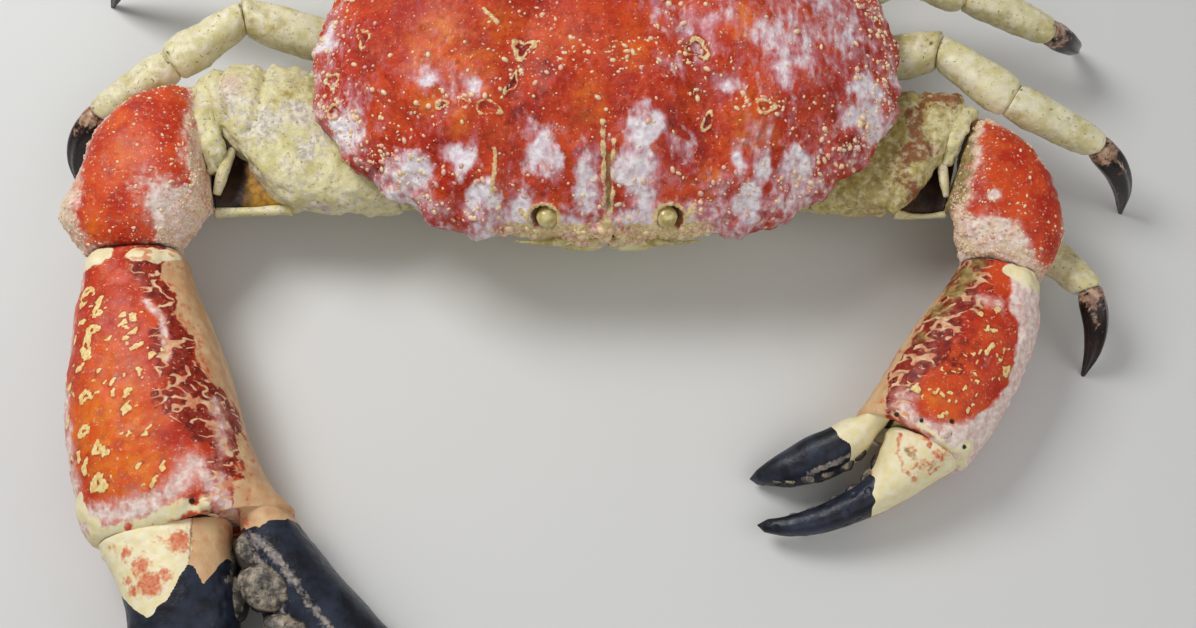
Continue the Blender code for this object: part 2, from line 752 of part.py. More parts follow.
def finger_teeth(claw, rows, biting, collection):
    """Rounded teeth in a row on a finger's biting edge, which is plan edge 0 or 1."""
    teeth = []
    for share, radius, reach in claw["teeth"]:
        edges = along_rows(rows, share)
        edge = edges[biting]
        inward = (edges[1 - biting] - edge).normalized()
        centre = edge + inward * (radius - reach)
        work = bmesh.new()
        bmesh.ops.create_uvsphere(work, u_segments=8, v_segments=5, radius=radius)
        for vertex in work.verts:
            vertex.co = Vector((vertex.co.x, vertex.co.y, vertex.co.z * 0.9))
            vertex.co += Vector((centre.x, centre.y, claw["tooth_z"] * (1.0 - 0.35 * share)))
        teeth.append(finish_object("tooth", work, collection))
    return teeth


def make_claw(claw, body_cutters, collection, scraps):
    """Hip, arm, wrist, palm and two fingers of one claw."""
    prefix = "cheliped_" + claw["side"] + "_"
    hip = plan_limb(prefix + "ischium", claw["hip"], 16, collection, CREAM, power=2.6)
    cut(hip, body_cutters)
    merus = plan_limb(prefix + "merus", claw["merus"], 20, collection, CREAM, power=2.8)
    cut(merus, body_cutters)

    plan_limb(prefix + "carpus", claw["carpus"], 20, collection, CLAW_RED, power=2.3)
    rows = claw["palm"]
    plan_limb(prefix + "palm", rows, 24, collection, CLAW_RED, power=2.4)

    knuckle_a = Vector(rows[-1][0])
    knuckle_b = Vector(rows[-1][1])
    split = knuckle_a.lerp(knuckle_b, claw["finger_split"])
    clear = (knuckle_b - knuckle_a).normalized() * 0.0010
    movable = [(tuple(knuckle_a + clear), tuple(split - clear), *claw["movable"][0]), *claw["movable"][1:]]
    fixed = [(tuple(split + clear), tuple(knuckle_b - clear), *claw["fixed"][0]), *claw["fixed"][1:]]
    upper = plan_limb(prefix + "movable_finger", movable, 16, collection, CLAW_BLACK, tip=claw["movable_tip"])
    join_pieces(upper, finger_teeth(claw, movable, 1, scraps))
    lower = plan_limb(prefix + "fixed_finger", fixed, 16, collection, CLAW_BLACK, tip=claw["fixed_tip"])
    join_pieces(lower, finger_teeth(claw, fixed, 0, scraps))


# Walking legs: root, knee, wrist, ankle and tip of each, by the crab's own side.
LEG_JOINTS = {
    "leg2_left": (
        (0.096, -0.040, 0.0150),
        (0.211, -0.069, 0.0150),
        (0.266, -0.1125, 0.0270),
        (0.285, -0.1430, 0.0400),
        (0.2885, -0.1825, 0.0),
    ),
    "leg3_left": (
        (0.098, 0.006, 0.0270),
        (0.203, 0.002, 0.0690),
        (0.2425, -0.0330, 0.0700),
        (0.2955, -0.0560, 0.0560),
        (0.3255, -0.0735, 0.0),
    ),
    "leg4_left": (
        (0.092, 0.048, 0.0270),
        (0.184, 0.058, 0.0680),
        (0.2230, 0.0420, 0.0700),
        (0.2750, 0.0240, 0.0560),
        (0.3095, 0.0470, 0.0),
    ),
    "leg5_left": (
        (0.076, 0.086, 0.0260),
        (0.144, 0.124, 0.0620),
        (0.1820, 0.1420, 0.0640),
        (0.2260, 0.1600, 0.0500),
        (0.2560, 0.1770, 0.0),
    ),
    "leg2_right": (
        (-0.096, -0.038, 0.0145),
        (-0.192, -0.052, 0.0145),
        (-0.2380, -0.0640, 0.0165),
        (-0.2770, -0.0640, 0.0190),
        (-0.3000, -0.0500, 0.0),
    ),
    "leg3_right": (
        (-0.098, 0.006, 0.0270),
        (-0.2255, 0.0320, 0.0600),
        (-0.2660, -0.0020, 0.0600),
        (-0.3115, -0.0280, 0.0460),
        (-0.3355, -0.0540, 0.0),
    ),
    "leg4_right": (
        (-0.092, 0.048, 0.0270),
        (-0.188, 0.066, 0.0680),
        (-0.2300, 0.0680, 0.0700),
        (-0.2820, 0.0760, 0.0560),
        (-0.3310, 0.0800, 0.0),
    ),
    "leg5_right": (
        (-0.076, 0.086, 0.0260),
        (-0.144, 0.124, 0.0620),
        (-0.1820, 0.1420, 0.0640),
        (-0.2260, 0.1600, 0.0500),
        (-0.2560, 0.1770, 0.0),
    ),
}
# The hip of each leg: how far it reaches in from the leg's root, and its half width and half depth.
HIP_REACH = 0.036
HIP_DROP = 0.002
HIP_HALF_WIDTH = 0.0145
HIP_HALF_DEPTH = 0.0115
# Girth along each segment: share, half width, half depth. Legs 2 to 4 are full size.
SEGMENT_GIRTH = {
    "merus": (
        (0.0, 0.0125, 0.0115),
        (0.25, 0.0135, 0.0125),
        (0.6, 0.0130, 0.0125),
        (0.88, 0.0125, 0.0125),
        (1.0, 0.0105, 0.0110),
    ),
    "carpus": (
        (0.0, 0.0085, 0.0095),
        (0.15, 0.0100, 0.0105),
        (0.45, 0.0115, 0.0110),
        (0.85, 0.0130, 0.0115),
        (1.0, 0.0112, 0.0100),
    ),
    "propodus": (
        (0.0, 0.0100, 0.0095),
        (0.12, 0.0112, 0.0102),
        (0.5, 0.0108, 0.0100),
        (0.85, 0.0096, 0.0090),
        (1.0, 0.0080, 0.0078),
    ),
    "dactyl": (
        (0.0, 0.0072, 0.0070),
        (0.12, 0.0085, 0.0078),
        (0.4, 0.0075, 0.0066),
        (0.7, 0.0052, 0.0046),
        (0.9, 0.0028, 0.0026),
        (1.0, 0.0015, 0.0015),
    ),
}
LEG_GIRTH = {"leg2": 0.92, "leg3": 1.0, "leg4": 1.0, "leg5": 0.85}
DACTYL_BOW = 0.007


def leg_segment(name, start, end, start_face, end_face, girth, scale, bow, collection, look, sides=12):
    """One leg segment from joint face to joint face, flat where it meets its neighbours."""
    along = (end - start).normalized()
    rings = []
    for share, half_width, half_depth in girth:
        facing = along
        if share == 0.0:
            facing = start_face
        elif share == 1.0:
            facing = end_face
        outward = start_face - along * start_face.dot(along)
        centre = start.lerp(end, share) + outward.normalized() * bow * math.sin(math.pi * share)
        across = facing.cross(Vector((0, 0, 1)))
        if across.length < 0.05:
            across = along.cross(Vector((0, 0, 1)))
        across.normalize()
        rise = across.cross(facing).normalized()
        stretch = 1.0 / max(0.6, abs(across.dot(along.cross(Vector((0, 0, 1))).normalized())))
        rings.append(
            section(
                centre,
                across * half_width * scale * stretch,
                rise * half_depth * scale,
                rise * half_depth * scale,
                2.3,
            )
        )
    return limb(name, rings, sides, collection, look, floor=True)


def make_hip(name, collection):
    """The short hip that carries a leg, from inside the chest to the leg's root."""
    root, knee = (Vector(place) for place in LEG_JOINTS[name][:2])
    along = (knee - root).normalized()
    outward = Vector((along.x, along.y, 0.0)).normalized()
    end = root - along * HALF_GAP
    start = end - outward * HIP_REACH - Vector((0, 0, HIP_DROP))
    scale = LEG_GIRTH[name[:4]]
    rings = []
    for share, size in ((0.0, 0.9), (0.55, 1.0), (0.85, 0.98), (1.0, 0.90)):
        facing = along if share == 1.0 else outward
        across = facing.cross(Vector((0, 0, 1))).normalized()
        rise = across.cross(facing) * HIP_HALF_DEPTH * size * scale
        rings.append(section(start.lerp(end, share), across * HIP_HALF_WIDTH * size * scale, rise, rise, 2.3))
    return limb("hip", rings, 12, collection)


def joint_face(before, joint, after):
    """The direction square to the face that two segments share."""
    return ((joint - before).normalized() + (after - joint).normalized()).normalized()


def make_leg(name, body_cutters, collection):
    points = [Vector(place) for place in LEG_JOINTS[name]]
    scale = LEG_GIRTH[name[:4]]
    faces = [(points[1] - points[0]).normalized()]
    for index in (1, 2, 3):
        faces.append(joint_face(points[index - 1], points[index], points[index + 1]))
    faces.append(Vector((0, 0, -1)))
    for index, segment in enumerate(SEGMENT_GIRTH):
        start = points[index] + faces[index] * HALF_GAP
        end = points[index + 1].copy()
        if segment != "dactyl":
            end -= faces[index + 1] * HALF_GAP
        bow = DACTYL_BOW if segment == "dactyl" else 0.0
        look = TIP_BROWN if segment == "dactyl" else CREAM
        made = leg_segment(
            f"{name}_{segment}",
            start,
            end,
            faces[index],
            faces[index + 1],
            SEGMENT_GIRTH[segment],
            scale,
            bow,
            collection,
            look,
        )
        if segment == "merus":
            cut(made, body_cutters)


def main():
    clear_scene()
    crab = bpy.data.collections.new("giant_crab")
    scraps = bpy.data.collections.new("cutters")
    bpy.context.scene.collection.children.link(crab)
    bpy.context.scene.collection.children.link(scraps)

    shell = make_shell(crab)
    chest = make_chest(crab, scraps)
    body_cutters = [grown_copy(shell, scraps), grown_copy(chest, scraps)]

    join_pieces(shell, brow_teeth(scraps) + shell_knobs(shell, scraps))
    for side in (-1, 1):
        eye = make_eye(side, crab)
        orbit = make_orbit(side, scraps)
        cut(shell, [orbit, grown_copy(eye, scraps)])

    tail = make_tail(crab)
    cut(tail, [body_cutters[1]])

    face_parts = []
    for side in (-1, 1):
        face_parts.append(make_feeler(side, crab))
        face_parts.append(make_small_feeler(side, crab))
        face_parts.append(make_mouth_leg(side, crab))
    face_cutters = [grown_copy(shell, scraps), body_cutters[1]]
    for part in face_parts:
        cut(part, face_cutters)

    for claw in (CRUSHER, CUTTER_CLAW):
        make_claw(claw, body_cutters, crab, scraps)
    for name in LEG_JOINTS:
        make_leg(name, body_cutters, crab)

    for scrap in list(scraps.objects):
        bpy.data.objects.remove(scrap, do_unlink=True)
    bpy.data.collections.remove(scraps)


main()
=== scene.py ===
import math
import random

import bmesh
import bpy
import numpy as np
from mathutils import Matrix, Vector


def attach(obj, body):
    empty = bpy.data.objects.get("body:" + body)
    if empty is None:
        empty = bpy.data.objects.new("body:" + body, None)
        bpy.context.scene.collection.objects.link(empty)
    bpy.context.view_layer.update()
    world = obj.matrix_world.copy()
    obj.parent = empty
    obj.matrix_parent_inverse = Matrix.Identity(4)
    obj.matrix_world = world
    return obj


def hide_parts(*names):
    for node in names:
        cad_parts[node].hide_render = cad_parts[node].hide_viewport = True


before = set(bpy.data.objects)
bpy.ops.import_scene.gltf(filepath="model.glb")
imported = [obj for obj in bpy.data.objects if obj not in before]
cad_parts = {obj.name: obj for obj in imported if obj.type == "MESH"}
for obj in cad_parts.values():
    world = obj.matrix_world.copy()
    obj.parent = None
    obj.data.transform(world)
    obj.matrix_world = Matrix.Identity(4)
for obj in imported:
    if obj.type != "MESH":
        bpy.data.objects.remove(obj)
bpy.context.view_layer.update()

# A giant crab, life size, lying on its belly. It faces -Y and its own left is +X.
# It is all in metres, apart from what stands in mm() and glows(), which is in millimetres.


# small tools that the pieces share

def mm(*values):
    # millimetres to metres; a True stays
    return tuple(
        mm(*value) if isinstance(value, tuple) else value is True or round(value / 1000, 7)
        for value in values
    )


def glows(*rows):
    # soft round patches: x, y and radius in millimetres, then a strength
    return tuple((*mm(x, y, radius), strength) for x, y, radius, strength in rows)


def selectNothing():
    if bpy.context.object and bpy.context.object.mode != "OBJECT":
        bpy.ops.object.mode_set(mode="OBJECT")
    bpy.ops.object.select_all(action="DESELECT")


def pick(piece):
    selectNothing()
    piece.select_set(True)
    bpy.context.view_layer.objects.active = piece


def places(piece):
    co = np.empty(len(piece.data.vertices) * 3)
    piece.data.vertices.foreach_get("co", co)
    return co.reshape(-1, 3)


def setPlaces(piece, co):
    piece.data.vertices.foreach_set("co", np.ascontiguousarray(co).ravel())
    piece.data.update()


def faceOutward(piece):
    pick(piece)
    bpy.ops.object.mode_set(mode="EDIT")
    bpy.ops.mesh.select_all(action="SELECT")
    bpy.ops.mesh.normals_make_consistent(inside=False)
    bpy.ops.object.mode_set(mode="OBJECT")
    bpy.ops.object.shade_smooth()


def paintAll(piece, names, **levels):
    # every mask that the piece's material reads, nought where no level is given
    for name in names:
        paint(piece, name, np.zeros(len(piece.data.vertices)) + levels.get(name, 0.0))


def normals(piece):
    out = np.empty(len(piece.data.vertices) * 3)
    piece.data.vertices.foreach_get("normal", out)
    return out.reshape(-1, 3)


def swell(piece, height):
    # moves every point along its normal
    setPlaces(piece, places(piece) + normals(piece) * height[:, None])


def paint(piece, name, values):
    layer = piece.data.attributes.get(name) or piece.data.attributes.new(name, "FLOAT", "POINT")
    layer.data.foreach_set("value", np.ascontiguousarray(values, dtype=np.float32))


def smoothStep(value, low, high):
    t = np.clip((value - low) / (high - low), 0.0, 1.0)
    return t * t * (3.0 - 2.0 * t)


def bell(away, width):
    # one at nought, falling off softly over the width
    return np.exp(-((away / width) ** 2))


def turned(x, y, angle):
    # plan-view offsets as read along and across a direction
    c, s = math.cos(angle), math.sin(angle)
    return x * c + y * s, y * c - x * s


def randomOf(cell, seed):
    # a number from 0 to 1 that is always the same for the same cell
    mixed = cell[:, 0] * 73856093 + cell[:, 1] * 19349663 + cell[:, 2] * 83492791 + seed * 2654435761
    mixed = (mixed ^ (mixed >> 15)) * 2246822519 & 0xFFFFFFFF
    mixed = (mixed ^ (mixed >> 13)) * 3266489917 & 0xFFFFFFFF
    return ((mixed ^ (mixed >> 16)) & 0xFFFF) / 65535.0


def grain(co, size, seed=0):
    # soft lumps of about the given size, from -1 to 1
    spot = co / size + 31.7
    cell = np.floor(spot).astype(np.int64)
    part = spot - cell
    part = part * part * (3.0 - 2.0 * part)
    total = np.zeros(len(co))
    for dx in (0, 1):
        for dy in (0, 1):
            for dz in (0, 1):
                weight = np.ones(len(co))
                for axis, step in enumerate((dx, dy, dz)):
                    weight *= part[:, axis] if step else 1.0 - part[:, axis]
                total += weight * randomOf(cell + np.array((dx, dy, dz)), seed)
    return total * 2.0 - 1.0


def pebbles(co, size, seed=0):
    # distance to the nearest of many scattered points, in cells, and a number for that point
    spot = co / size
    cell = np.floor(spot).astype(np.int64)
    best = np.full(len(co), 9.0)
    owner = np.zeros(len(co))
    for dx in (-1, 0, 1):
        for dy in (-1, 0, 1):
            for dz in (-1, 0, 1):
                near = cell + np.array((dx, dy, dz))
                middle = near + np.stack([randomOf(near, seed + k) for k in range(3)], axis=1)
                away = np.linalg.norm(spot - middle, axis=1)
                owner = np.where(away < best, randomOf(near, seed + 3), owner)
                best = np.minimum(best, away)
    return best, owner


def awayFromPath(x, y, path):
    best = np.full(len(x), 9.0)
    for (ax, ay), (bx, by) in zip(path, path[1:]):
        dx, dy = bx - ax, by - ay
        share = np.clip(((x - ax) * dx + (y - ay) * dy) / (dx * dx + dy * dy), 0.0, 1.0)
        best = np.minimum(best, np.hypot(x - ax - share * dx, y - ay - share * dy))
    return best


def pathGlow(x, y, width, *paths):
    # one on any of the plan-view paths, falling off softly over the width
    return bell(np.minimum.reduce([awayFromPath(x, y, path) for path in paths]), width)


def lineX(line, y):
    # the x of a plan-view line where it passes y
    spots = sorted((b, a) for a, b in line)
    return np.interp(y, *zip(*spots))


def insideOf(x, y, outline):
    # how far inside a closed outline of the plan view a point lies; outside is below nought
    closed = list(outline) + [outline[0]]
    within = np.zeros(len(x), dtype=bool)
    for (ax, ay), (bx, by) in zip(closed, closed[1:]):
        crosses = (ay > y) != (by > y)
        within ^= crosses & (x < ax + (y - ay) * (bx - ax) / (by - ay if by != ay else 1e-9))
    return np.where(within, 1.0, -1.0) * awayFromPath(x, y, closed)


def patches(x, y, spots):
    # soft round patches of the plan view: x, y, radius, strength
    total = np.zeros(len(x))
    for sx, sy, radius, strength in spots:
        total = np.maximum(total, strength * np.exp(-((x - sx) ** 2 + (y - sy) ** 2) / radius**2))
    return total


def ballGrid(name, around, along):
    # a ball whose rings and spokes become the cross-sections of a limb
    selectNothing()
    bpy.ops.mesh.primitive_uv_sphere_add(segments=around, ring_count=along + 1, radius=1.0)
    piece = bpy.context.object
    piece.name = name
    piece.data.name = name
    co = places(piece)
    ring = np.rint(np.arccos(np.clip(co[:, 2], -1.0, 1.0)) / math.pi * (along + 1)).astype(int)
    return piece, ring, np.arctan2(co[:, 1], co[:, 0])


def oneBall(segments, rings):
    # the points and faces of a ball with radius one, to be copied
    selectNothing()
    bpy.ops.mesh.primitive_uv_sphere_add(segments=segments, ring_count=rings, radius=1.0)
    ball = bpy.context.object
    points = places(ball)
    faces = [tuple(face.vertices) for face in ball.data.polygons]
    bpy.data.objects.remove(ball)
    return points, faces


def joinCopies(name, copies, faces):
    # one piece made of many placed copies of the same ball
    count = len(copies[0])
    starts = range(0, len(copies) * count, count)
    polygons = [tuple(index + start for index in face) for start in starts for face in faces]
    mesh = bpy.data.meshes.new(name)
    mesh.from_pydata(np.concatenate(copies).tolist(), [], polygons)
    piece = bpy.data.objects.new(name, mesh)
    bpy.context.scene.collection.objects.link(piece)
    mesh.shade_smooth()
    return piece


def fuller(value, fullness):
    return np.sign(value) * np.abs(value) ** (2.0 / fullness)


def smoothRows(rows, count, crowd=0.35):
    # a smooth run through rows of numbers whose first three are a place; closer together at both ends
    rows = np.asarray(rows, dtype=float)
    at = np.concatenate([[0.0], np.cumsum(np.linalg.norm(np.diff(rows[:, :3], axis=0), axis=1))])
    slope = np.gradient(rows, at, axis=0)
    even = np.linspace(0.0, 1.0, count)
    want = at[-1] * ((1.0 - crowd) * even + crowd * (0.5 - 0.5 * np.cos(math.pi * even)))
    index = np.clip(np.searchsorted(at, want, side="right") - 1, 0, len(rows) - 2)
    span = (at[index + 1] - at[index])[:, None]
    t = (want - at[index])[:, None] / span
    return (
        (2 * t**3 - 3 * t**2 + 1) * rows[index]
        + (t**3 - 2 * t**2 + t) * span * slope[index]
        + (3 * t**2 - 2 * t**3) * rows[index + 1]
        + (t**3 - t**2) * span * slope[index + 1]
    ), want


def edgeInset(distance, radius):
    # how far a rounded edge of that radius pulls in, at a distance from the end
    d = np.clip(distance, 0.0, radius)
    return radius - np.sqrt(np.maximum(radius**2 - (radius - d) ** 2, 0.0))


def limb(name, rows, around, along, fullness=2.3, ends=(0.003, 0.003), tip=None):
    # rows: middle, half width, rise and fall as twelve numbers; ends: radii of the rounded rims.
    # It gives the piece and, at each point, the share of the length and the section's side and up.
    piece, ring, angle = ballGrid(name, around, along)
    dense, want = smoothRows(rows, along)
    inset = edgeInset(want, ends[0]) if ends[0] else np.zeros(along)
    if ends[1] and tip is None:
        inset = np.maximum(inset, edgeInset(want[-1] - want, ends[1]))
    for start in (3, 6, 9):
        size = np.linalg.norm(dense[:, start : start + 3], axis=1)
        dense[:, start : start + 3] *= np.maximum(0.15, 1.0 - inset / np.maximum(size, 1e-6))[:, None]
    section = np.clip(ring - 1, 0, along - 1)
    row = dense[section]
    side = fuller(np.cos(angle), fullness)
    up = fuller(np.sin(angle), fullness)
    inside = ((ring > 0) & (ring <= along)).astype(float)
    lift = np.where((up > 0)[:, None], row[:, 6:9], row[:, 9:12])
    co = row[:, 0:3] + inside[:, None] * (row[:, 3:6] * side[:, None] + lift * up[:, None])
    if tip is not None:
        co[ring > along] = tip
    setPlaces(piece, co)
    faceOutward(piece)
    return piece, want[section] / want[-1], side * inside, up * inside


def planRows(rows):
    # rows that stand upright between two points of the plan view: a, b, low, high
    out = []
    for a, b, low, high in rows:
        middle = ((a[0] + b[0]) / 2, (a[1] + b[1]) / 2, (low + high) / 2)
        across = ((b[0] - a[0]) / 2, (b[1] - a[1]) / 2, 0.0)
        rise = (0.0, 0.0, (high - low) / 2)
        out.append((*middle, *across, *rise, *rise))
    return out


def pathRows(path):
    rows = []
    for index, (x, y, z, radius) in enumerate(path):
        before = Vector(path[max(0, index - 1)][:3])
        after = Vector(path[min(len(path) - 1, index + 1)][:3])
        run = (after - before).normalized()
        across = run.cross(Vector((0, 0, 1))).normalized()
        rise = across.cross(run) * radius
        rows.append((x, y, z, *(across * radius), *rise, *rise))
    return rows


def floorFlat(piece, level=0.0):
    co = places(piece)
    co[:, 2] = np.maximum(co[:, 2], level)
    setPlaces(piece, co)


def finish(piece, slotName, material, *nodes):
    piece.data.materials.clear()
    piece.data.materials.append(material)
    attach(piece, "root")
    if nodes:
        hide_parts(*nodes)


# what the shell and its parts are made of

def linear(code):
    channels = [int(code[i : i + 2], 16) / 255.0 for i in (1, 3, 5)]
    return tuple(c / 12.92 if c <= 0.04045 else ((c + 0.055) / 1.055) ** 2.4 for c in channels) + (1.0,)


def node(tree, kind, settings=None, links=None):
    made = tree.nodes.new("ShaderNode" + kind)
    for key, value in (settings or {}).items():
        if isinstance(key, str) and hasattr(made, key):
            setattr(made, key, value)
        else:
            made.inputs[key].default_value = value
    for key, source in (links or {}).items():
        tree.links.new(source, made.inputs[key])
    return made


def layer(mask, mottle, spread, level, soft, colours, strength, **more):
    # mask: painted values that bring the layer up; mottle: size of its ragged edge in metres;
    # worm: thin winding lines instead of patches; dull: what it adds to the roughness;
    # stretch: below one along an axis draws the mottling out that way
    usual = {"vary": 0.004, "detail": 3.0, "worm": 0.0, "dull": 0.0, "stretch": None}
    return {
        "mask": mask, "mottle": mottle, "spread": spread, "level": level, "soft": soft,
        "colours": colours, "strength": strength, **usual, **more,
    }


def layerShown(tree, look, bent):
    # how far the layer shows at a place, from 0 to its strength
    if look["stretch"]:
        drawn = {"operation": "MULTIPLY", 1: look["stretch"]}
        bent = node(tree, "VectorMath", drawn, {0: bent}).outputs[0]
    fine = {"Scale": 1 / look["mottle"], "Detail": look["detail"], "Roughness": 0.6}
    value = node(tree, "TexNoise", fine, {"Vector": bent}).outputs[0]
    steps = []
    if look["worm"]:
        # thin winding lines where the noise passes its middle
        steps += [{"operation": "SUBTRACT", 1: 0.5}, {"operation": "ABSOLUTE"}]
        steps += [{"operation": "MULTIPLY_ADD", 1: -look["worm"], 2: 1.0}]
    steps += [{"operation": "MULTIPLY_ADD", 1: look["spread"], 2: look["level"] - look["spread"] / 2}]
    for step in steps:
        value = node(tree, "Math", step, {0: value}).outputs[0]
    if look["mask"]:
        mask = node(tree, "Attribute", {"attribute_name": look["mask"]}).outputs["Fac"]
        value = node(tree, "Math", {"operation": "ADD"}, {0: value, 1: mask}).outputs[0]
    limits = {"From Min": 0.5 - look["soft"], "From Max": 0.5 + look["soft"], "To Max": look["strength"]}
    limits["interpolation_type"] = "SMOOTHSTEP"
    return node(tree, "MapRange", limits, {"Value": value}).outputs[0]


def shellMaterial(name, base, broadSize, poreSize, rough, layers, coat=0.0, relief=0.35, specular=0.4):
    # layers of colour over a base, each where its painted mask and its mottling say
    material = bpy.data.materials.new(name)
    material.use_nodes = True
    tree = material.node_tree
    shader = tree.nodes["Principled BSDF"]
    where = node(tree, "TexCoord").outputs["Object"]
    warp = node(tree, "TexNoise", {"Scale": 1 / 0.006, "Detail": 2.0}, {"Vector": where})
    bend = {"operation": "MULTIPLY_ADD", 1: (0.0022, 0.0022, 0.0022)}
    bent = node(tree, "VectorMath", bend, {0: warp.outputs["Color"], 2: where}).outputs[0]
    broad = node(tree, "TexNoise", {"Scale": 1 / broadSize, "Detail": 3.0}, {"Vector": bent})
    smooth = {"interpolation_type": "SMOOTHSTEP", "From Min": 0.36, "From Max": 0.64}
    spread = node(tree, "MapRange", smooth, {"Value": broad.outputs[0]})
    ends = {"data_type": "RGBA", 6: linear(base[0]), 7: linear(base[1])}
    colour = node(tree, "Mix", ends, {0: spread.outputs[0]}).outputs[2]
    fine = node(tree, "TexNoise", {"Scale": 1 / 0.0035, "Detail": 3.0}, {"Vector": where})
    sheen = {"From Min": 0.3, "From Max": 0.7, "To Min": rough[0], "To Max": rough[1]}
    dullness = node(tree, "MapRange", sheen, {"Value": fine.outputs[0]}).outputs[0]
    for look in layers:
        shown = layerShown(tree, look, bent)
        vary = node(tree, "TexNoise", {"Scale": 1 / look["vary"], "Detail": 2.0}, {"Vector": where})
        sharp = node(tree, "MapRange", {"From Min": 0.38, "From Max": 0.62}, {"Value": vary.outputs[0]})
        pair = {"data_type": "RGBA", 6: linear(look["colours"][0]), 7: linear(look["colours"][-1])}
        tint = node(tree, "Mix", pair, {0: sharp.outputs[0]}).outputs[2]
        colour = node(tree, "Mix", {"data_type": "RGBA"}, {0: shown, 6: colour, 7: tint}).outputs[2]
        if look["dull"]:
            change = {"operation": "MULTIPLY_ADD", 1: look["dull"]}
            dullness = node(tree, "Math", change, {0: shown, 2: dullness}).outputs[0]
    tree.links.new(colour, shader.inputs["Base Color"])
    tree.links.new(dullness, shader.inputs["Roughness"])
    pores = node(tree, "TexVoronoi", {"Scale": 1 / poreSize}, {"Vector": bent})
    pile = {"operation": "MULTIPLY_ADD", 1: 0.6}
    height = node(tree, "Math", pile, {0: pores.outputs["Distance"], 2: fine.outputs[0]})
    bump = node(tree, "Bump", {"Strength": relief, "Distance": 0.0006}, {"Height": height.outputs[0]})
    tree.links.new(bump.outputs[0], shader.inputs["Normal"])
    shader.inputs["IOR"].default_value = 1.5
    shader.inputs["Specular IOR Level"].default_value = specular
    shader.inputs["Coat Weight"].default_value = coat
    shader.inputs["Coat Roughness"].default_value = 0.25
    return material


# Crab shell: chitin hardened with lime and coloured by the pigment under its clear outer skin.
# It is satin where it is smooth, and chalky, pale and dull where that skin is worn away.
shellRed = shellMaterial("limeHardenedShellRed", ("#B02812", "#CE481C"), 0.024, 0.0018, (0.42, 0.6), (
    layer("amber", 0.011, 1.0, 0.05, 0.38, ("#E27C26", "#E05E1E"), 0.92, vary=0.008),
    layer("", 0.013, 1.7, 0.42, 0.3, ("#8E1C14", "#A42C1A"), 0.55),
    layer("dark", 0.006, 1.1, 0.0, 0.28, ("#5E121A", "#7C1E20"), 0.88),
    layer("", 0.004, 1.7, 0.36, 0.18, ("#7A1812", "#8E2014"), 0.5),
    layer("", 0.0032, 1.6, 0.32, 0.16, ("#DC7040", "#D65C30"), 0.36),
    layer("frost", 0.0075, 1.2, 0.17, 0.26, ("#D6949A", "#BE7480"), 0.8, dull=0.05, stretch=(1.35, 0.7, 1.0)),
    layer("frost", 0.0056, 1.5, -0.02, 0.32, ("#F6F3F4", "#DDD0D8"), 0.96, vary=0.0036, detail=5.0,
          dull=0.08, stretch=(1.4, 0.68, 1.0)),
    layer("", 0.0018, 1.5, 0.21, 0.09, ("#EBC8A4", "#E0A880"), 0.7, detail=1.5),
    layer("cream", 0.0024, 1.1, 0.0, 0.14, ("#E8D5A0", "#CDAE76"), 0.96, vary=0.002, detail=4.0, dull=0.06),
    layer("pocket", 0.003, 0.6, 0.0, 0.2, ("#A08A54", "#74603A"), 0.95, vary=0.003),
    # deep: near-black painted shade in the holes of the face
    layer("deep", 0.002, 0.4, 0.0, 0.15, ("#34180E", "#4E2A14"), 0.95, vary=0.003),
), coat=0.04, relief=0.42, specular=0.22)
# Bare lime shell with little pigment: eggshell-dull, blotched olive and grey, with fine pits.
creamShell = shellMaterial("bareLimeShellCream", ("#CCC284", "#DED6A6"), 0.016, 0.0014, (0.42, 0.62), (
    layer("olive", 0.007, 1.1, 0.1, 0.24, ("#AE984A", "#8C7434"), 0.85),
    layer("frost", 0.0045, 1.4, 0.05, 0.18, ("#E6E0D2", "#B2A8A4"), 0.9, vary=0.003, detail=5.0, dull=0.08),
    layer("pink", 0.004, 1.0, 0.0, 0.22, ("#DDB9A8", "#C4A29E"), 0.85),
    layer("rust", 0.0036, 1.6, 0.0, 0.14, ("#8A3418", "#74421C"), 0.85, vary=0.003, detail=4.0),
    layer("", 0.0048, 1.5, 0.38, 0.2, ("#EEE6C4", "#E0D6A6"), 0.55),
    layer("", 0.0022, 1.6, 0.27, 0.1, ("#6E5E34", "#84744C"), 0.62, detail=2.0),
    layer("dark", 0.004, 0.8, 0.0, 0.15, ("#4A2C16", "#301810"), 0.92),
), coat=0.05, relief=0.5)
# The same shell on the legs, smoother, with fine brown dots; its dark layer carries painted shade at the
# joints.
legShell = shellMaterial("bareLimeShellLegs", ("#D0C68E", "#E4DCB6"), 0.015, 0.0014, (0.38, 0.54), (
    layer("olive", 0.007, 1.0, 0.06, 0.26, ("#B8A860", "#9C8A4C"), 0.78),
    layer("", 0.0055, 1.5, 0.42, 0.2, ("#F0EBDA", "#E4DCC6"), 0.65),
    layer("", 0.0022, 1.5, 0.2, 0.08, ("#6B4A22", "#84683A"), 0.66, detail=1.0),
    layer("dark", 0.003, 0.6, 0.0, 0.12, ("#3A2212", "#5C3A20"), 0.95),
), coat=0.1)
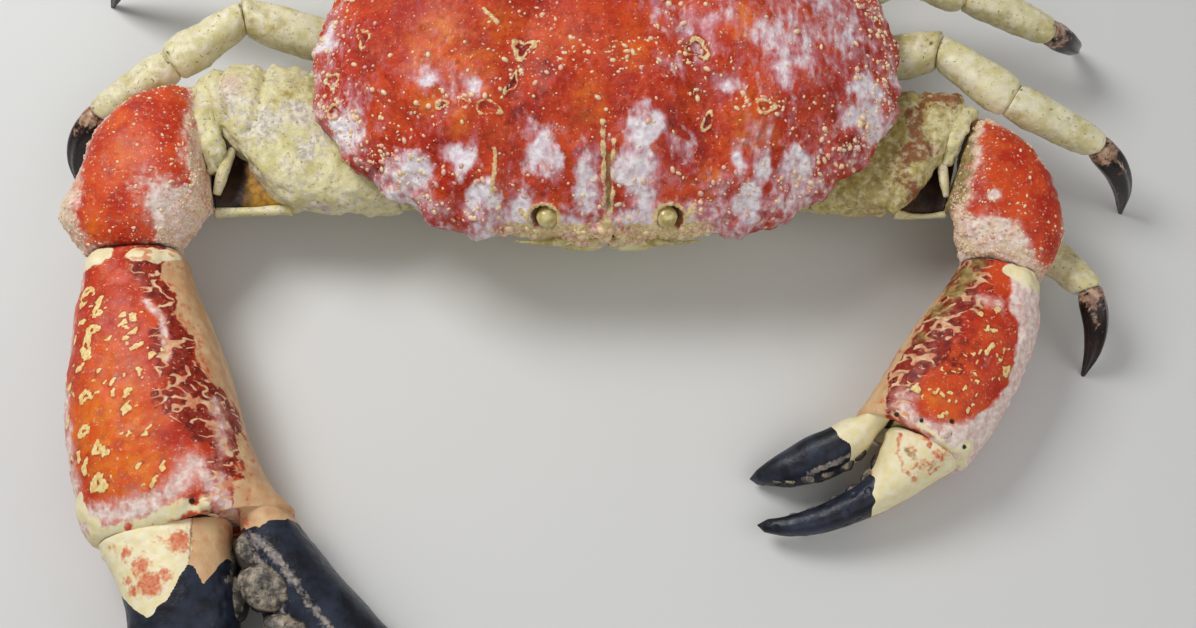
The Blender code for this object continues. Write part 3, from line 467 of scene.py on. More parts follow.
# Claw shell: red with cream spots, a rubbed tan inner face, and blue-black horn on the fingers.
clawShell = shellMaterial("limeHardenedShellClaw", ("#B62A12", "#D24A1A"), 0.018, 0.0018, (0.4, 0.58), (
    layer("amber", 0.01, 0.9, 0.02, 0.38, ("#E4781C", "#E05A16"), 0.92, vary=0.008),
    layer("", 0.006, 1.6, 0.38, 0.22, ("#9C2014", "#8A1A12"), 0.5),
    layer("", 0.003, 1.5, 0.32, 0.16, ("#E28C4C", "#DC6C38"), 0.42),
    layer("dark", 0.0042, 1.2, 0.0, 0.2, ("#64120E", "#962A16"), 0.94),
    layer("frost", 0.006, 1.1, 0.18, 0.28, ("#E2A092", "#CE847A"), 0.85, dull=0.05),
    layer("frost", 0.0046, 1.3, -0.02, 0.24, ("#F3E8DE", "#E0C2B8"), 0.94, vary=0.0032, detail=5.0, dull=0.1),
    layer("cream", 0.0034, 1.4, 0.0, 0.2, ("#EBDCBC", "#D8B69A"), 0.95, vary=0.0026, detail=4.0, dull=0.08),
    layer("", 0.0017, 1.5, 0.22, 0.09, ("#EECDAA", "#E6AE88"), 0.65, detail=1.5),
    layer("tan", 0.0034, 1.1, 0.0, 0.14, ("#CE9E72", "#DDB98C"), 1.0, vary=0.01, dull=0.03),
    layer("butter", 0.0036, 0.7, 0.0, 0.14, ("#EBDCA8", "#EFE6C4"), 1.0, vary=0.005, dull=0.05),
    layer("blush", 0.003, 1.3, 0.0, 0.2, ("#CC5230", "#DC8A60"), 0.92, vary=0.002, detail=4.0),
    layer("worm", 0.0078, 1.0, -0.24, 0.16, ("#EACBA0", "#D58A62"), 0.92, vary=0.006, detail=0.6, worm=7.0,
          stretch=(0.7, 1.3, 1.0)),
    layer("halo", 0.003, 0.5, 0.0, 0.28, ("#7E1A10", "#8E2412"), 0.55),
    layer("spot", 0.0018, 0.7, 0.0, 0.18, ("#F2E1A2", "#E2BC6C"), 0.98, vary=0.002),
    layer("olive", 0.004, 1.0, 0.0, 0.2, ("#7A6A38", "#A08E54"), 0.9),
    layer("outline", 0.002, 0.5, 0.0, 0.16, ("#4A2A18", "#6A4426"), 0.9),
    layer("horn", 0.004, 0.12, 0.0, 0.05, ("#171A22", "#2C3241"), 1.0, vary=0.012, dull=-0.12),
    layer("worn", 0.003, 1.4, 0.0, 0.2, ("#ADA192", "#7C7678"), 0.92, vary=0.003, detail=5.0, dull=0.12),
    # deep: near-black painted shade in the small pits and in the gaps at the roots of the palm and the
    # movable finger
    layer("deep", 0.002, 0.3, 0.0, 0.15, ("#160C0A", "#2A140C"), 0.97),
), coat=0.05, relief=0.3, specular=0.26)
# Leg tips of dark horn, polished by wear.
hornTip = shellMaterial("darkHornLegTip", ("#0B0606", "#200C08"), 0.014, 0.002, (0.22, 0.36), (
    layer("frost", 0.0026, 2.2, 0.0, 0.22, ("#CDA98C", "#8E6650"), 0.9, stretch=(1.0, 1.0, 0.6)),
), coat=0.18, relief=0.15, specular=0.35)
# Soft skin between the plates, brown and leathery.
jointSkin = shellMaterial("leatheryJointSkin", ("#22120A", "#3A200F"), 0.008, 0.0012, (0.45, 0.6), (
    layer("olive", 0.005, 0.8, 0.0, 0.34, ("#B8862C", "#8A6420"), 0.92),
))
# Beads of clean lime on the shell, cream or pinkish.
beadShell = shellMaterial("limeBeadCream", ("#EAD8AA", "#EBCBA4"), 0.01, 0.0012, (0.34, 0.46), (
    layer("tint", 0.002, 0.5, 0.0, 0.3, ("#DE9C84", "#D6B0AE"), 0.9),
), coat=0.1, relief=0.1)
# Crushing teeth: dark horn, rubbed grey and beige on top.
molarShell = shellMaterial("wornMolarHorn", ("#2A2828", "#4A4440"), 0.008, 0.0016, (0.4, 0.58), (
    layer("worn", 0.005, 1.5, 0.0, 0.2, ("#B3A58E", "#7E7468"), 0.92, vary=0.003, detail=5.0, dull=0.06),
    layer("", 0.0026, 1.6, 0.26, 0.1, ("#1A1818", "#2E2824"), 0.8, detail=2.0),
))
# Eye globes: smooth, moist and pale, with a darker lens on the outer side.
eyeShell = shellMaterial("moistEyeGlobe", ("#B09A58", "#D6C88E"), 0.005, 0.0006, (0.16, 0.26), (
    layer("", 0.0018, 1.5, 0.0, 0.2, ("#8C7840", "#A08C50"), 0.55),
    layer("dark", 0.002, 0.3, 0.0, 0.15, ("#120C08", "#2A1C10"), 0.95),
), coat=0.45, relief=0.08, specular=0.5)

# the painted masks that these shells read
redMasks = ("frost", "cream", "amber", "dark", "pocket", "deep")
creamMasks = ("dark", "olive", "frost", "pink", "rust")
clawMasks = (
    "amber", "dark", "frost", "cream", "tan", "butter", "blush", "worm", "halo", "spot", "olive", "outline",
    "horn", "worn", "deep",
)


# the shell of the back

shell = {
    # half width, reach to the front and reach to the back
    "rim": mm(174, 112, 140), "widestY": -0.012, "frontPower": 2.3, "backPower": 1.85, "topZ": 0.131,
    "fullness": 2.3, "shoulder": 0.72, "rimFrontZ": 0.074, "rimSideZ": 0.084, "rimBackZ": 0.07,
    "rimThickness": 0.006, "seat": mm(108, 96, 112), "seatZ": 0.046, "faceHalfWidth": 0.062,
    "grid": (350, 226),
    "underShares": (0.012, 0.04, 0.09, 0.16, 0.25, 0.36, 0.48, 0.62, 0.78, 1.0),
    # the regions of the back: x, y, height, spread across, spread along; each on both sides
    "swellings": mm(
        (26, -64, 5, 20, 22), (14, -94, 3, 12, 14), (0, -18, 3, 24, 26), (0, 46, 4, 26, 24),
        (98, 2, 11, 44, 42), (114, -52, 6, 26, 14), (84, -76, 6, 22, 13), (74, -104, 6, 15, 11),
        (108, -88, 4, 12, 10), (70, 72, 6, 34, 32),
    ),
    "furrow": mm((54, -92), (52, -72), (51, -50), (48, -28), (40, -6), (29, 18)),
    "furrowDepth": 0.0042, "furrowSpread": 0.01,
    # lobes of the edge: bearing in degrees from straight ahead, reach, spread in degrees
    "lobes": (
        (34.0, 0.0085, 4.2), (43.5, 0.0095, 5.0), (54.5, 0.005, 2.8), (65.0, 0.0035, 3.4),
        (76.5, 0.0035, 3.6),
    ),
    "midLines": mm(((-2.6, -76), (-2, -95), (-1.2, -118)), ((3.6, -86), (3.4, -104), (2.2, -116))),
    "midGroove": mm((0.8, -92), (0.8, -115)),
    # healed scars with a raised pale rim: x, y, reach across, reach along, turn in degrees, how three-sided
    "scars": (
        (-0.0472, -0.0328, 0.0068, 0.0058, 20.0, 0.3), (0.0506, -0.033, 0.0072, 0.0056, -40.0, 0.35),
        (-0.0669, -0.0676, 0.0076, 0.0044, -12.0, 0.1), (0.0563, -0.0742, 0.003, 0.0058, -25.0, 0.1),
        (0.0886, -0.0661, 0.006, 0.0044, 10.0, 0.15), (-0.053, -0.0528, 0.0026, 0.0066, -30.0, 0.3),
        (-0.0925, -0.0648, 0.0042, 0.0026, 5.0, 0.1), (-0.08, -0.0652, 0.004, 0.0026, 0.0, 0.2),
        (-0.1592, -0.0363, 0.004, 0.005, 30.0, 0.2), (-0.1406, -0.016, 0.0036, 0.007, 15.0, 0.3),
        (-0.1573, -0.0549, 0.0044, 0.0034, -30.0, 0.15), (0.06, 0.048, 0.0062, 0.005, 10.0, 0.3),
        (-0.056, 0.062, 0.006, 0.0048, -15.0, 0.2), (-0.102, 0.05, 0.004, 0.006, 40.0, 0.2),
        (0.108, 0.062, 0.004, 0.006, -30.0, 0.2),
    ),
    # pale streaks, as paths of the plan view
    "streaks": mm(
        ((-63.2, -88), (-62.8, -96), (-64, -109)), ((-70, -11), (-62, -19)),
        ((-49.4, -114.8), (-44, -117.5)), ((49.9, -113.1), (44.5, -117)), ((79, 18), (70, 24)),
    ),
    # patches of the back: x, y, radius, strength
    "frost": glows(
        (-36.8, -88.2, 11.5, 1.0), (-11.7, -102.7, 10, 0.9), (-109.5, -95, 13.5, 1.0),
        (-80.5, -95.2, 8.5, 1.0), (-72, -113, 9, 1.0), (-101.5, -47.1, 6, 0.8), (-77.2, -55.3, 7, 0.75),
        (-149.7, -66.4, 13, 0.9), (-165.8, -6.5, 11, 0.7), (-50, -114, 8, 0.8), (89, -24.9, 12, 0.66),
        (111.5, -33.5, 16, 0.64), (137.5, -14.7, 17, 0.62), (125, 0, 15, 0.6), (152.4, -45.6, 11.5, 1.1),
        (153.8, -60.8, 11, 1.05), (139.7, -60.6, 9, 0.75), (21, -80, 12, 1.0), (18, -99, 13, 1.05),
        (46.4, -85.8, 8.5, 0.8), (87.6, -94.9, 11, 0.95), (110.6, -93.3, 11, 0.95), (80.1, -110.7, 9, 1.0),
        (69.3, -96.9, 7, 0.8), (35.7, -46.5, 7, 0.6), (68.2, -55.5, 8, 0.65), (18.7, -111.7, 11, 0.85),
        (100, -45, 11, 0.6),
    ),
    # broad rosy fields round the frost
    "rosy": glows(
        (33.7, -11.3, 12, 1.0), (48.1, -20.1, 14, 1.0), (62.8, -15.5, 14, 1.0), (53.6, -32.2, 12, 0.9),
        (-98, -98, 22, 0.8), (-56, -113, 15, 0.8), (-148, -60, 20, 0.9), (-90, -50, 18, 0.7),
        (-164, -10, 16, 0.9), (-20, -102, 14, 0.9), (105, -28, 30, 1.15), (135, -8, 28, 1.2),
        (152, -52, 20, 1.1), (20, -95, 20, 0.9), (42, -78, 14, 0.8), (95, -96, 26, 1.0), (80, 10, 20, 0.7),
        (64, -108, 16, 0.8), (125, -78, 14, 0.7), (40, 90, 30, 0.8), (-70, 90, 30, 0.8), (130, 50, 26, 0.7),
    ),
    "amber": glows(
        (-94.1, -25.4, 22, 0.9), (-76.8, -40.8, 20, 0.9), (-80.2, -75.7, 11, 1.0), (-7.2, -66.7, 14, 1.0),
        (-101.4, -59.6, 10, 1.0), (13.4, -37.8, 16, 0.8), (76.7, -17.8, 12, 1.1), (80, -76, 15, 1.1),
        (58.9, -105.2, 9, 0.9), (-26.3, -30.5, 14, 0.8), (-60.3, -17.5, 14, 0.9), (50, 30, 30, 0.6),
        (-70, 40, 30, 0.6), (0, 75, 30, 0.6), (100, 40, 20, 0.6),
    ),
    # red lines that part the frost of the front
    "redLines": mm(
        (((24.5, -59.9), (39, -77), (52.7, -92.8)), 3), (((43.8, -64.7), (53, -81), (60.6, -97.7)), 4.2),
        (((-62, -80), (-70, -93), (-82, -112)), 3.4), (((-118, -78), (-96, -85), (-93, -109)), 3),
        (((96, -76), (98, -90), (92, -106)), 3), (((-26, -85), (-24, -100), (-27, -114)), 3.2),
    ),
    "dark": glows(
        (-36.8, -48.9, 10, 0.8), (-47.4, -71.4, 9, 0.9), (-57, -57.8, 7, 0.7), (-129.1, -93.8, 11, 0.9),
        (63.9, -49.2, 9, 0.8), (100.9, -34.2, 6, 0.9), (148.3, -24.1, 10, 0.8), (129.7, -63.2, 11, 0.8),
        (138.8, -78.5, 10, 0.9), (35, -76.8, 10, 0.8), (45.4, -94.8, 7, 0.7), (-3.9, -97.1, 4, 0.7),
        (-40, -62.6, 8, 0.7), (-135, -30, 14, 0.6), (0, 15, 12, 0.7),
    ),
    "beads": 1150, "edgeBeads": 760, "beadRadius": 0.00105, "seed": 5,
    # dark holes of the face, sunk in and painted near black as painted shade: x, z, size
    "pits": mm(
        (-4, 70, 2.6), (3, 67.2, 2.2), (14.6, 71.6, 2.6), (-13.5, 69.5, 1.8), (-24.5, 73, 1.4),
        (24, 73, 1.5),
    ),
    "pitY": -0.116,
}
eyes = {
    "x": 0.034, "y": -0.117, "z": 0.083, "socket": 0.0074, "outward": 0.0017, "stalk": 0.0038,
    # the way from the right eye into its socket, mirrored for the left one
    "inward": (0.3, 0.85, -0.42),
}


def eggOutline(angle, halfWidth, frontReach, backReach, lobed):
    ahead = np.cos(angle)
    front = ahead > 0
    power = np.where(front, shell["frontPower"], shell["backPower"])
    x = halfWidth * fuller(np.sin(angle), power)
    y = -np.where(front, frontReach, backReach) * fuller(ahead, power)
    if lobed:
        bearing = np.degrees(np.abs(np.arctan2(x, -y)))
        stretch = 1.0
        for at, out, wide in shell["lobes"]:
            stretch = stretch + out * bell(bearing - at, wide) / np.hypot(x, y)
        x, y = x * stretch, y * stretch
    return x, shell["widestY"] + y


def rimHeight(angle):
    ahead = np.cos(angle)
    end = np.where(ahead > 0, shell["rimFrontZ"], shell["rimBackZ"])
    return shell["rimSideZ"] + (end - shell["rimSideZ"]) * ahead * ahead


def regionHeight(x, y):
    height = np.zeros(len(x))
    for sx, sy, lift, wide, deep in shell["swellings"]:
        for side in sorted({sx, -sx}):
            height += lift * np.exp(-(((x - side) / wide) ** 2) - ((y - sy) / deep) ** 2)
    return height - shell["furrowDepth"] * pathGlow(np.abs(x), y, shell["furrowSpread"], shell["furrow"])


def shellTop(share, angle):
    rimX, rimY = eggOutline(angle, *shell["rim"], True)
    x = rimX * share
    y = shell["widestY"] + (rimY - shell["widestY"]) * share
    low = rimHeight(angle)
    dome = np.maximum(0.0, 1.0 - share ** shell["fullness"]) ** shell["shoulder"]
    return x, y, low + (shell["topZ"] - low) * dome + regionHeight(x, y) * (1.0 - share**6)


def shellUnder(share, angle):
    rimX, rimY = eggOutline(angle, *shell["rim"], True)
    seatX, seatY = eggOutline(angle, *shell["seat"], False)
    face = np.exp(-((rimX / shell["faceHalfWidth"]) ** 4)) * (np.cos(angle) > 0)
    t = share ** (1.0 + 1.6 * face)
    low = rimHeight(angle) - shell["rimThickness"]
    z = low + (shell["seatZ"] - low) * share ** (2.2 - 1.2 * face)
    return rimX + (seatX - rimX) * t, rimY + (seatY - rimY) * t, z


def buildCarapace():
    selectNothing()
    acrossCount, alongCount = shell["grid"]
    bpy.ops.mesh.primitive_grid_add(x_subdivisions=acrossCount, y_subdivisions=alongCount, size=2.0)
    piece = bpy.context.object
    piece.name = "carapaceShell"
    co = places(piece)
    u = co[:, 0] * np.sqrt(1.0 - co[:, 1] ** 2 / 2)
    v = co[:, 1] * np.sqrt(1.0 - co[:, 0] ** 2 / 2)
    share = np.clip(np.hypot(u, v), 0.0, 1.0)
    angle = np.arctan2(u, -v)
    setPlaces(piece, np.stack(shellTop(share, angle), axis=1))
    paint(piece, "bearing", angle)
    paint(piece, "reach", share)
    # the edge is extruded down, under and in to the seat on the chest
    bpy.ops.object.mode_set(mode="EDIT")
    bpy.ops.mesh.select_mode(type="EDGE")
    bpy.ops.mesh.select_all(action="DESELECT")
    bpy.ops.mesh.select_non_manifold()
    for under in shell["underShares"]:
        bpy.ops.mesh.extrude_edges_move()
        work = bmesh.from_edit_mesh(piece.data)
        bearing = work.verts.layers.float["bearing"]
        reach = work.verts.layers.float["reach"]
        moved = [vertex for vertex in work.verts if vertex.select]
        edge = shellUnder(under, np.array([vertex[bearing] for vertex in moved]))
        for vertex, *place in zip(moved, *edge):
            vertex.co = place
            vertex[reach] = 1.0 + under
        bmesh.update_edit_mesh(piece.data)
    bpy.ops.mesh.extrude_edges_move()
    bpy.ops.mesh.merge(type="CENTER")
    faceOutward(piece)
    return piece


def readLayer(piece, name):
    out = np.empty(len(piece.data.vertices), dtype=np.float32)
    piece.data.attributes[name].data.foreach_get("value", out)
    return out.astype(float)


def dressCarapace(piece):
    co = places(piece)
    x, y = co[:, 0], co[:, 1]
    reach = readLayer(piece, "reach")
    top = (reach <= 1.0).astype(float)
    edge = smoothStep(reach, 0.88, 0.99) * (1.0 - smoothStep(reach, 1.05, 1.3))
    front = smoothStep(-y, 0.03, 0.1)
    calm = 1.0 - smoothStep(reach, 1.02, 1.3)
    height = calm * (0.0007 * grain(co, 0.016, 1) + 0.0004 * grain(co, 0.008, 2) * (0.4 + front))
    height += calm * (0.0001 + 0.0005 * front) * grain(co, 0.0034, 3)
    # low pimples, thickest on the edge and the front, and a granular underside of the edge
    away, owner = pebbles(co, 0.0048, 4)
    pimple = smoothStep(0.46 - away, 0.0, 0.3) * (owner < 0.1 + 0.35 * front + 0.6 * edge) * calm
    height += pimple * 0.0009
    below = smoothStep(reach, 1.01, 1.08) * (1.0 - smoothStep(reach, 1.75, 1.95))
    granules = smoothStep(0.4 - away, 0.0, 0.3) * (owner < 0.5)
    height += below * (0.0005 * grain(co, 0.0034, 27) + 0.0006 * granules)
    height += edge * 0.0016 * grain(co, 0.0055, 6)
    # the two pale keels of the middle, with a groove between them and a bulb at the tip
    wander = 0.0006 * grain(co, 0.006, 7)
    keel = pathGlow(x + wander, y, 0.0015, *shell["midLines"])
    keel *= top * (0.55 + 0.6 * smoothStep(grain(co, 0.0032, 9), -0.4, 0.3))
    groove = pathGlow(x, y, 0.0017, shell["midGroove"]) * top
    tipBulb = np.exp(-((x / 0.0045) ** 2) - ((y + 0.1205) / 0.004) ** 2) * (reach < 1.05)
    height += 0.0014 * keel - 0.0014 * groove + 0.0018 * tipBulb
    # healed scars and pale streaks
    ring = np.zeros(len(x))
    inner = np.zeros(len(x))
    for sx, sy, wide, deep, turn, lobed in shell["scars"]:
        near = np.flatnonzero((np.abs(x - sx) < 0.014) & (np.abs(y - sy) < 0.014) & (reach <= 1.0))
        u, v = turned(x[near] - sx, y[near] - sy, math.radians(turn))
        u, v = u / wide, v / deep
        outOfRound = 1.0 + lobed * np.cos(3.0 * np.arctan2(v, u)) + 0.22 * grain(co[near], 0.0045, 8)
        off = np.hypot(u, v) / outOfRound
        broken = 0.65 + 0.5 * smoothStep(grain(co[near], 0.004, 10), -0.5, 0.2)
        ring[near] = np.maximum(ring[near], bell(off - 0.85, 0.24) * broken)
        inner[near] = np.maximum(inner[near], bell(off, 0.6))
    streak = pathGlow(x + wander, y, 0.0016, *shell["streaks"]) * top
    height += 0.0011 * ring - 0.0012 * inner + 0.001 * streak
    # eye sockets: a cup with a raised, lumpy lid
    co = co + normals(piece) * height[:, None]
    lids = np.zeros(len(x))
    inSocket = np.zeros(len(x))
    for side in (-1, 1):
        middle = np.array((side * (eyes["x"] + eyes["outward"]), eyes["y"] - 0.0006, eyes["z"] + 0.0012))
        far = np.linalg.norm(co - middle, axis=1)
        lid = bell(far - eyes["socket"] * 1.16, 0.0026) * (reach < 1.05)
        lids = np.maximum(lids, lid)
        co = co + normals(piece) * (0.0016 * lid * (1.0 + 0.5 * grain(co, 0.003, 12)))[:, None]
        inward = np.array((-side * eyes["inward"][0], *eyes["inward"][1:]))
        inward /= np.linalg.norm(inward)
        off = co - middle
        along = off @ inward
        across = np.linalg.norm(off - along[:, None] * inward, axis=1)
        depth = np.sqrt(np.maximum(eyes["socket"] ** 2 - across**2, 0.0))
        near = np.linalg.norm(off, axis=1) < eyes["socket"] * 1.3
        inside = (across < eyes["socket"]) & near & (reach < 1.2)
        push = np.where(inside, np.maximum(depth - along, 0.0), 0.0)
        inSocket = np.maximum(inSocket, smoothStep(push, 0.0012, 0.004))
        co = co + push[:, None] * inward
    # painted shade: the holes of the face are sunk a little here and painted near black by the deep layer
    # below
    holes = [bell(np.hypot(co[:, 0] - px, co[:, 2] - pz), size) for px, pz, size in shell["pits"]]
    pits = np.maximum.reduce(holes) * (co[:, 1] < shell["pitY"])
    co = co - normals(piece) * (0.0026 * pits)[:, None]
    setPlaces(piece, co)
    x, y = co[:, 0], co[:, 1]
    under = smoothStep(reach, 1.01, 1.06)
    brow = np.exp(-((x / 0.066) ** 6)) * smoothStep(-y, 0.06, 0.09)
    strip = brow * smoothStep(reach + 0.006 * grain(co, 0.005, 20), 0.958, 0.985)
    # worn, frosted patches; the edge is granular and frosted too
    bentX = x + 0.0052 * grain(co, 0.013, 16) + 0.002 * grain(co, 0.005, 17)
    bentY = y + 0.0052 * grain(co, 0.013, 18) + 0.002 * grain(co, 0.005, 19)
    frost = np.maximum(
        patches(bentX, bentY, shell["frost"]) * 1.08, patches(bentX, bentY, shell["rosy"]) * 0.46
    )
    cuts = np.maximum.reduce([pathGlow(bentX, bentY, width, path) for path, width in shell["redLines"]])
    drawnOut = co * np.array((1.5, 0.55, 1.0))
    blur = 0.92 + 0.3 * grain(co, 0.007, 13) + 0.16 * grain(co, 0.003, 15)
    frost = frost * (blur + 0.22 * grain(drawnOut, 0.0042, 26)) * (1.0 - under) - 0.42 * cuts
    frost += 0.46 * edge * smoothStep(grain(co, 0.011, 11), -0.6, 0.5) * (1.0 - 0.4 * front)
    frost += 0.34 * brow * smoothStep(reach, 0.88, 0.96)
    frost += 0.3 * smoothStep(y, 0.06, 0.13) * smoothStep(reach, 0.75, 0.97)
    frost += 0.12 * (pimple - 0.4) * smoothStep(frost, 0.15, 0.4)
    paint(piece, "frost", frost - 0.7 * inSocket - 0.5 * ring)
    paint(piece, "amber", patches(x, y, shell["amber"]) * 0.72 + 0.12 * grain(co, 0.022, 14))
    # painted shade: darker along the furrow, on top of the dark patches
    furrow = pathGlow(np.abs(x), y, shell["furrowSpread"], shell["furrow"])
    dark = np.maximum(patches(bentX, bentY, shell["dark"]) * 0.78, 0.42 * furrow)
    paint(piece, "dark", dark + 0.5 * inner + 0.2 * edge * (1.0 - front))
    cream = [0.82 * ring, 0.95 * keel, 0.8 * streak, 0.9 * under, 0.86 * strip, 0.72 * lids, 0.8 * tipBulb]
    cream += [0.62 * pimple * np.maximum(edge, 0.5 * (owner < 0.05))]
    bare = 0.3 * below * smoothStep(-y, 0.0, 0.05) * smoothStep(grain(co, 0.0045, 23), -0.1, 0.5)
    paint(piece, "cream", np.maximum.reduce(cream) - bare - inSocket)
    paint(piece, "pocket", np.maximum(0.95 * inSocket, 0.75 * groove))
    # deep: painted shade, near black, in the holes of the face
    paint(piece, "deep", 0.95 * pits)


beads = {
    "grid": (8, 5), "flat": 0.75, "sizes": (0.45, 0.55, 0.7, 0.8, 0.95, 1.1, 1.6),
    "tints": (0.0, 0.1, 0.3, 0.5, 0.8),
}


def addBeads(name, spots, radius, seed):
    # one low bead is modelled once and copied to every spot, sunk a little into the shell
    one, faces = oneBall(*beads["grid"])
    draw = random.Random(seed)
    copies, tints = [], []
    for spot, normal in spots:
        size = radius * draw.choice(beads["sizes"]) * draw.uniform(0.85, 1.15)
        spin = draw.uniform(0.72, 1.0)
        angle = draw.uniform(0.0, math.pi)
        c, s = math.cos(angle), math.sin(angle)
        shaped = one * np.array((size / spin, size * spin, size * beads["flat"]))
        shaped = shaped @ np.array(((c, s, 0.0), (-s, c, 0.0), (0.0, 0.0, 1.0)))
        stand = Vector((0, 0, 1)).rotation_difference(normal).to_matrix()
        copies.append(shaped @ np.array(stand.transposed()) + np.array(spot))
        tints += [draw.choice(beads["tints"])] * len(one)
    piece = joinCopies(name, copies, faces)
    paint(piece, "tint", np.array(tints))
    return piece


def topSpot(host, x, y):
    hit, spot, normal, _ = host.ray_cast(Vector((x, y, 0.3)), Vector((0, 0, -1)))
    return (spot, normal) if hit else None


def clearOfEyes(x, y):
    return math.hypot(abs(x) - eyes["x"], y - eyes["y"]) > 0.0135


def carapaceBeads(host):
    # scattered over the middle and the front first, then thickly along the granular edge
    draw = random.Random(shell["seed"])
    spots = []
    while len(spots) < shell["beads"] + shell["edgeBeads"]:
        onEdge = len(spots) >= shell["beads"]
        share = draw.uniform(0.9, 0.998) if onEdge else draw.uniform(0.05, 0.95) ** 0.6
        angle = draw.uniform(-math.pi, math.pi)
        x, y, _ = (float(value[0]) for value in shellTop(np.array([share]), np.array([angle])))
        if onEdge:
            chance = 0.35 if abs(x) < 0.1 and y < 0 else 1.0
        else:
            chance = 0.1 + 0.9 * bell(x, 0.042) * (-0.052 < y < 0.05) + 0.5 * (share > 0.8)
            chance += 0.9 * bell(y + 0.065, 0.007) * (0.07 < abs(x) < 0.13)
            chance += 0.7 * bell(math.hypot(abs(x) - 0.052, y + 0.05), 0.012)
        if draw.random() < chance and clearOfEyes(x, y):
            found = topSpot(host, x, y)
            spots += [found] if found else []
    return addBeads("carapaceBeads", spots, shell["beadRadius"], 3)


carapace = buildCarapace()
dressCarapace(carapace)
finish(carapace, "shell_red", shellRed, "carapace")
finish(carapaceBeads(carapace), "shell_cream", beadShell)
print("carapace", len(carapace.data.polygons))


# chest, folded tail and face

body = {
    "belly": mm(62, 58, 88), "bellyZ": 0.005, "gap": 0.0003, "chestGrid": (160, 44),
    "chestCreases": mm(-36, -8, 20, 46),
    "profile": ((0.0, 0.0), (0.14, 0.24), (0.36, 0.62), (0.7, 0.86), (1.0, 1.0)),
    # the folded tail from front to back: y, z, half width
    "tail": mm(
        (-50, 2, 5), (-38, 2, 10), (-10, 2, 13.5), (20, 2, 16), (48, 2, 21.5), (68, 2.8, 25), (79, 7, 27.5),
        (86.5, 16, 28.5), (91, 27, 28.5), (98.5, 37.5, 28),
    ),
    "tailHalf": 0.0024, "tailSeams": (0.1, 0.27, 0.42, 0.56, 0.68, 0.8, 0.92),
}


def buildChest():
    around, rings = body["chestGrid"]
    piece, ring, angle = ballGrid("chest", around, rings)
    top = shell["seatZ"] - body["gap"]
    drops = np.linspace(0.0, 1.0, rings)
    inward = np.interp(drops, *zip(*body["profile"]))
    drop = drops[np.clip(ring - 1, 0, rings - 1)]
    way = inward[np.clip(ring - 1, 0, rings - 1)]
    seatX, seatY = eggOutline(angle, *shell["seat"], False)
    face = np.exp(-((seatX / shell["faceHalfWidth"]) ** 4)) * (np.cos(angle) > 0)
    way = way + (drop - way) * face
    bellyX, bellyY = eggOutline(angle, *body["belly"], False)
    x = seatX + (bellyX - seatX) * way
    y = seatY + (bellyY - seatY) * way
    co = np.stack([x, y, top + (body["bellyZ"] - top) * drop], axis=1)
    co[ring == 0] = (0.0, shell["widestY"], top)
    co[ring > rings] = (0.0, shell["widestY"], body["bellyZ"])
    setPlaces(piece, co)
    bpy.ops.object.shade_smooth()
    co = places(piece)
    bows = [bell(co[:, 1] - (line + 0.12 * np.abs(co[:, 0])), 0.0016) for line in body["chestCreases"]]
    crease = np.maximum.reduce(bows) * (co[:, 2] < 0.03)
    swell(piece, 0.0006 * grain(co, 0.008, 21) - 0.001 * crease)
    paintAll(piece, creamMasks, dark=0.35 * crease, olive=0.15 + 0.2 * grain(co, 0.03, 22))
    return piece


def buildTail():
    rows = []
    path = body["tail"]
    for index, (y, z, half) in enumerate(path):
        before, after = path[max(0, index - 1)], path[min(len(path) - 1, index + 1)]
        run = Vector((0, after[0] - before[0], after[1] - before[1])).normalized()
        thick = Vector((0, -run.z, run.y)) * body["tailHalf"]
        rows.append((0, y, z, half, 0, 0, *thick, *thick))
    piece, share, *_ = limb("tailPlates", rows, around=64, along=150, fullness=5.0, ends=(0.001, 0.006))
    seam = np.maximum.reduce([bell(share - at, 0.008) for at in body["tailSeams"]])
    swell(piece, -0.0007 * seam)
    floorFlat(piece)
    paintAll(piece, creamMasks, dark=0.4 * seam)
    return piece


finish(buildChest(), "shell_cream", creamShell, "thorax")
finish(buildTail(), "shell_cream", creamShell, "abdomen")
print("chest and tail")


face = {
    # teeth of the brow: x, y, z, half width, reach
    "teeth": mm((6.6, -120.5, 79, 4.6, 8.5), (19, -119.5, 78.5, 4.6, 7)),
    "eyeShares": (
        (0.0, 1.0), (0.35, 1.0), (0.62, 1.22), (0.86, 1.62), (1.06, 1.66), (1.25, 1.36), (1.38, 0.8),
    ),
    "toothShares": ((0.0, 1.0), (0.45, 0.95), (0.8, 0.72), (1.0, 0.38)),
    # the lumpy strip under the brow: half width, height, how many lumps are tried
    "strip": (0.062, 0.068, 420),
    # feelers: x, y, z, radius
    "antenna": mm(
        (20, -112, 65, 3.6), (22, -120.5, 65.5, 3.6), (27, -124.3, 66.2, 2.8), (34, -125.8, 67.2, 1.6),
        (43, -126.2, 68, 1), (53, -125, 68.5, 0.6),
    ),
    "antennaRings": 120.0,
    "antennule": mm(
        (7.5, -112, 65.5, 2.6), (8, -121, 66.2, 2.6), (7.5, -124.2, 67.5, 2.2), (5.5, -126.2, 69, 1.4),
    ),
    # mouth plates from top to bottom: y, z, inner edge, outer edge, half thickness
    "mouthPlate": mm(
        (-122.5, 56.5, 5, 20, 2.6), (-118, 49.5, 1.2, 27, 4.6), (-108.5, 39, 1.2, 28, 5.2),
        (-99, 29, 1.2, 26, 5.2), (-89, 19, 1.2, 21.5, 4.8), (-81, 12, 1.5, 15, 3.6),
    ),
}


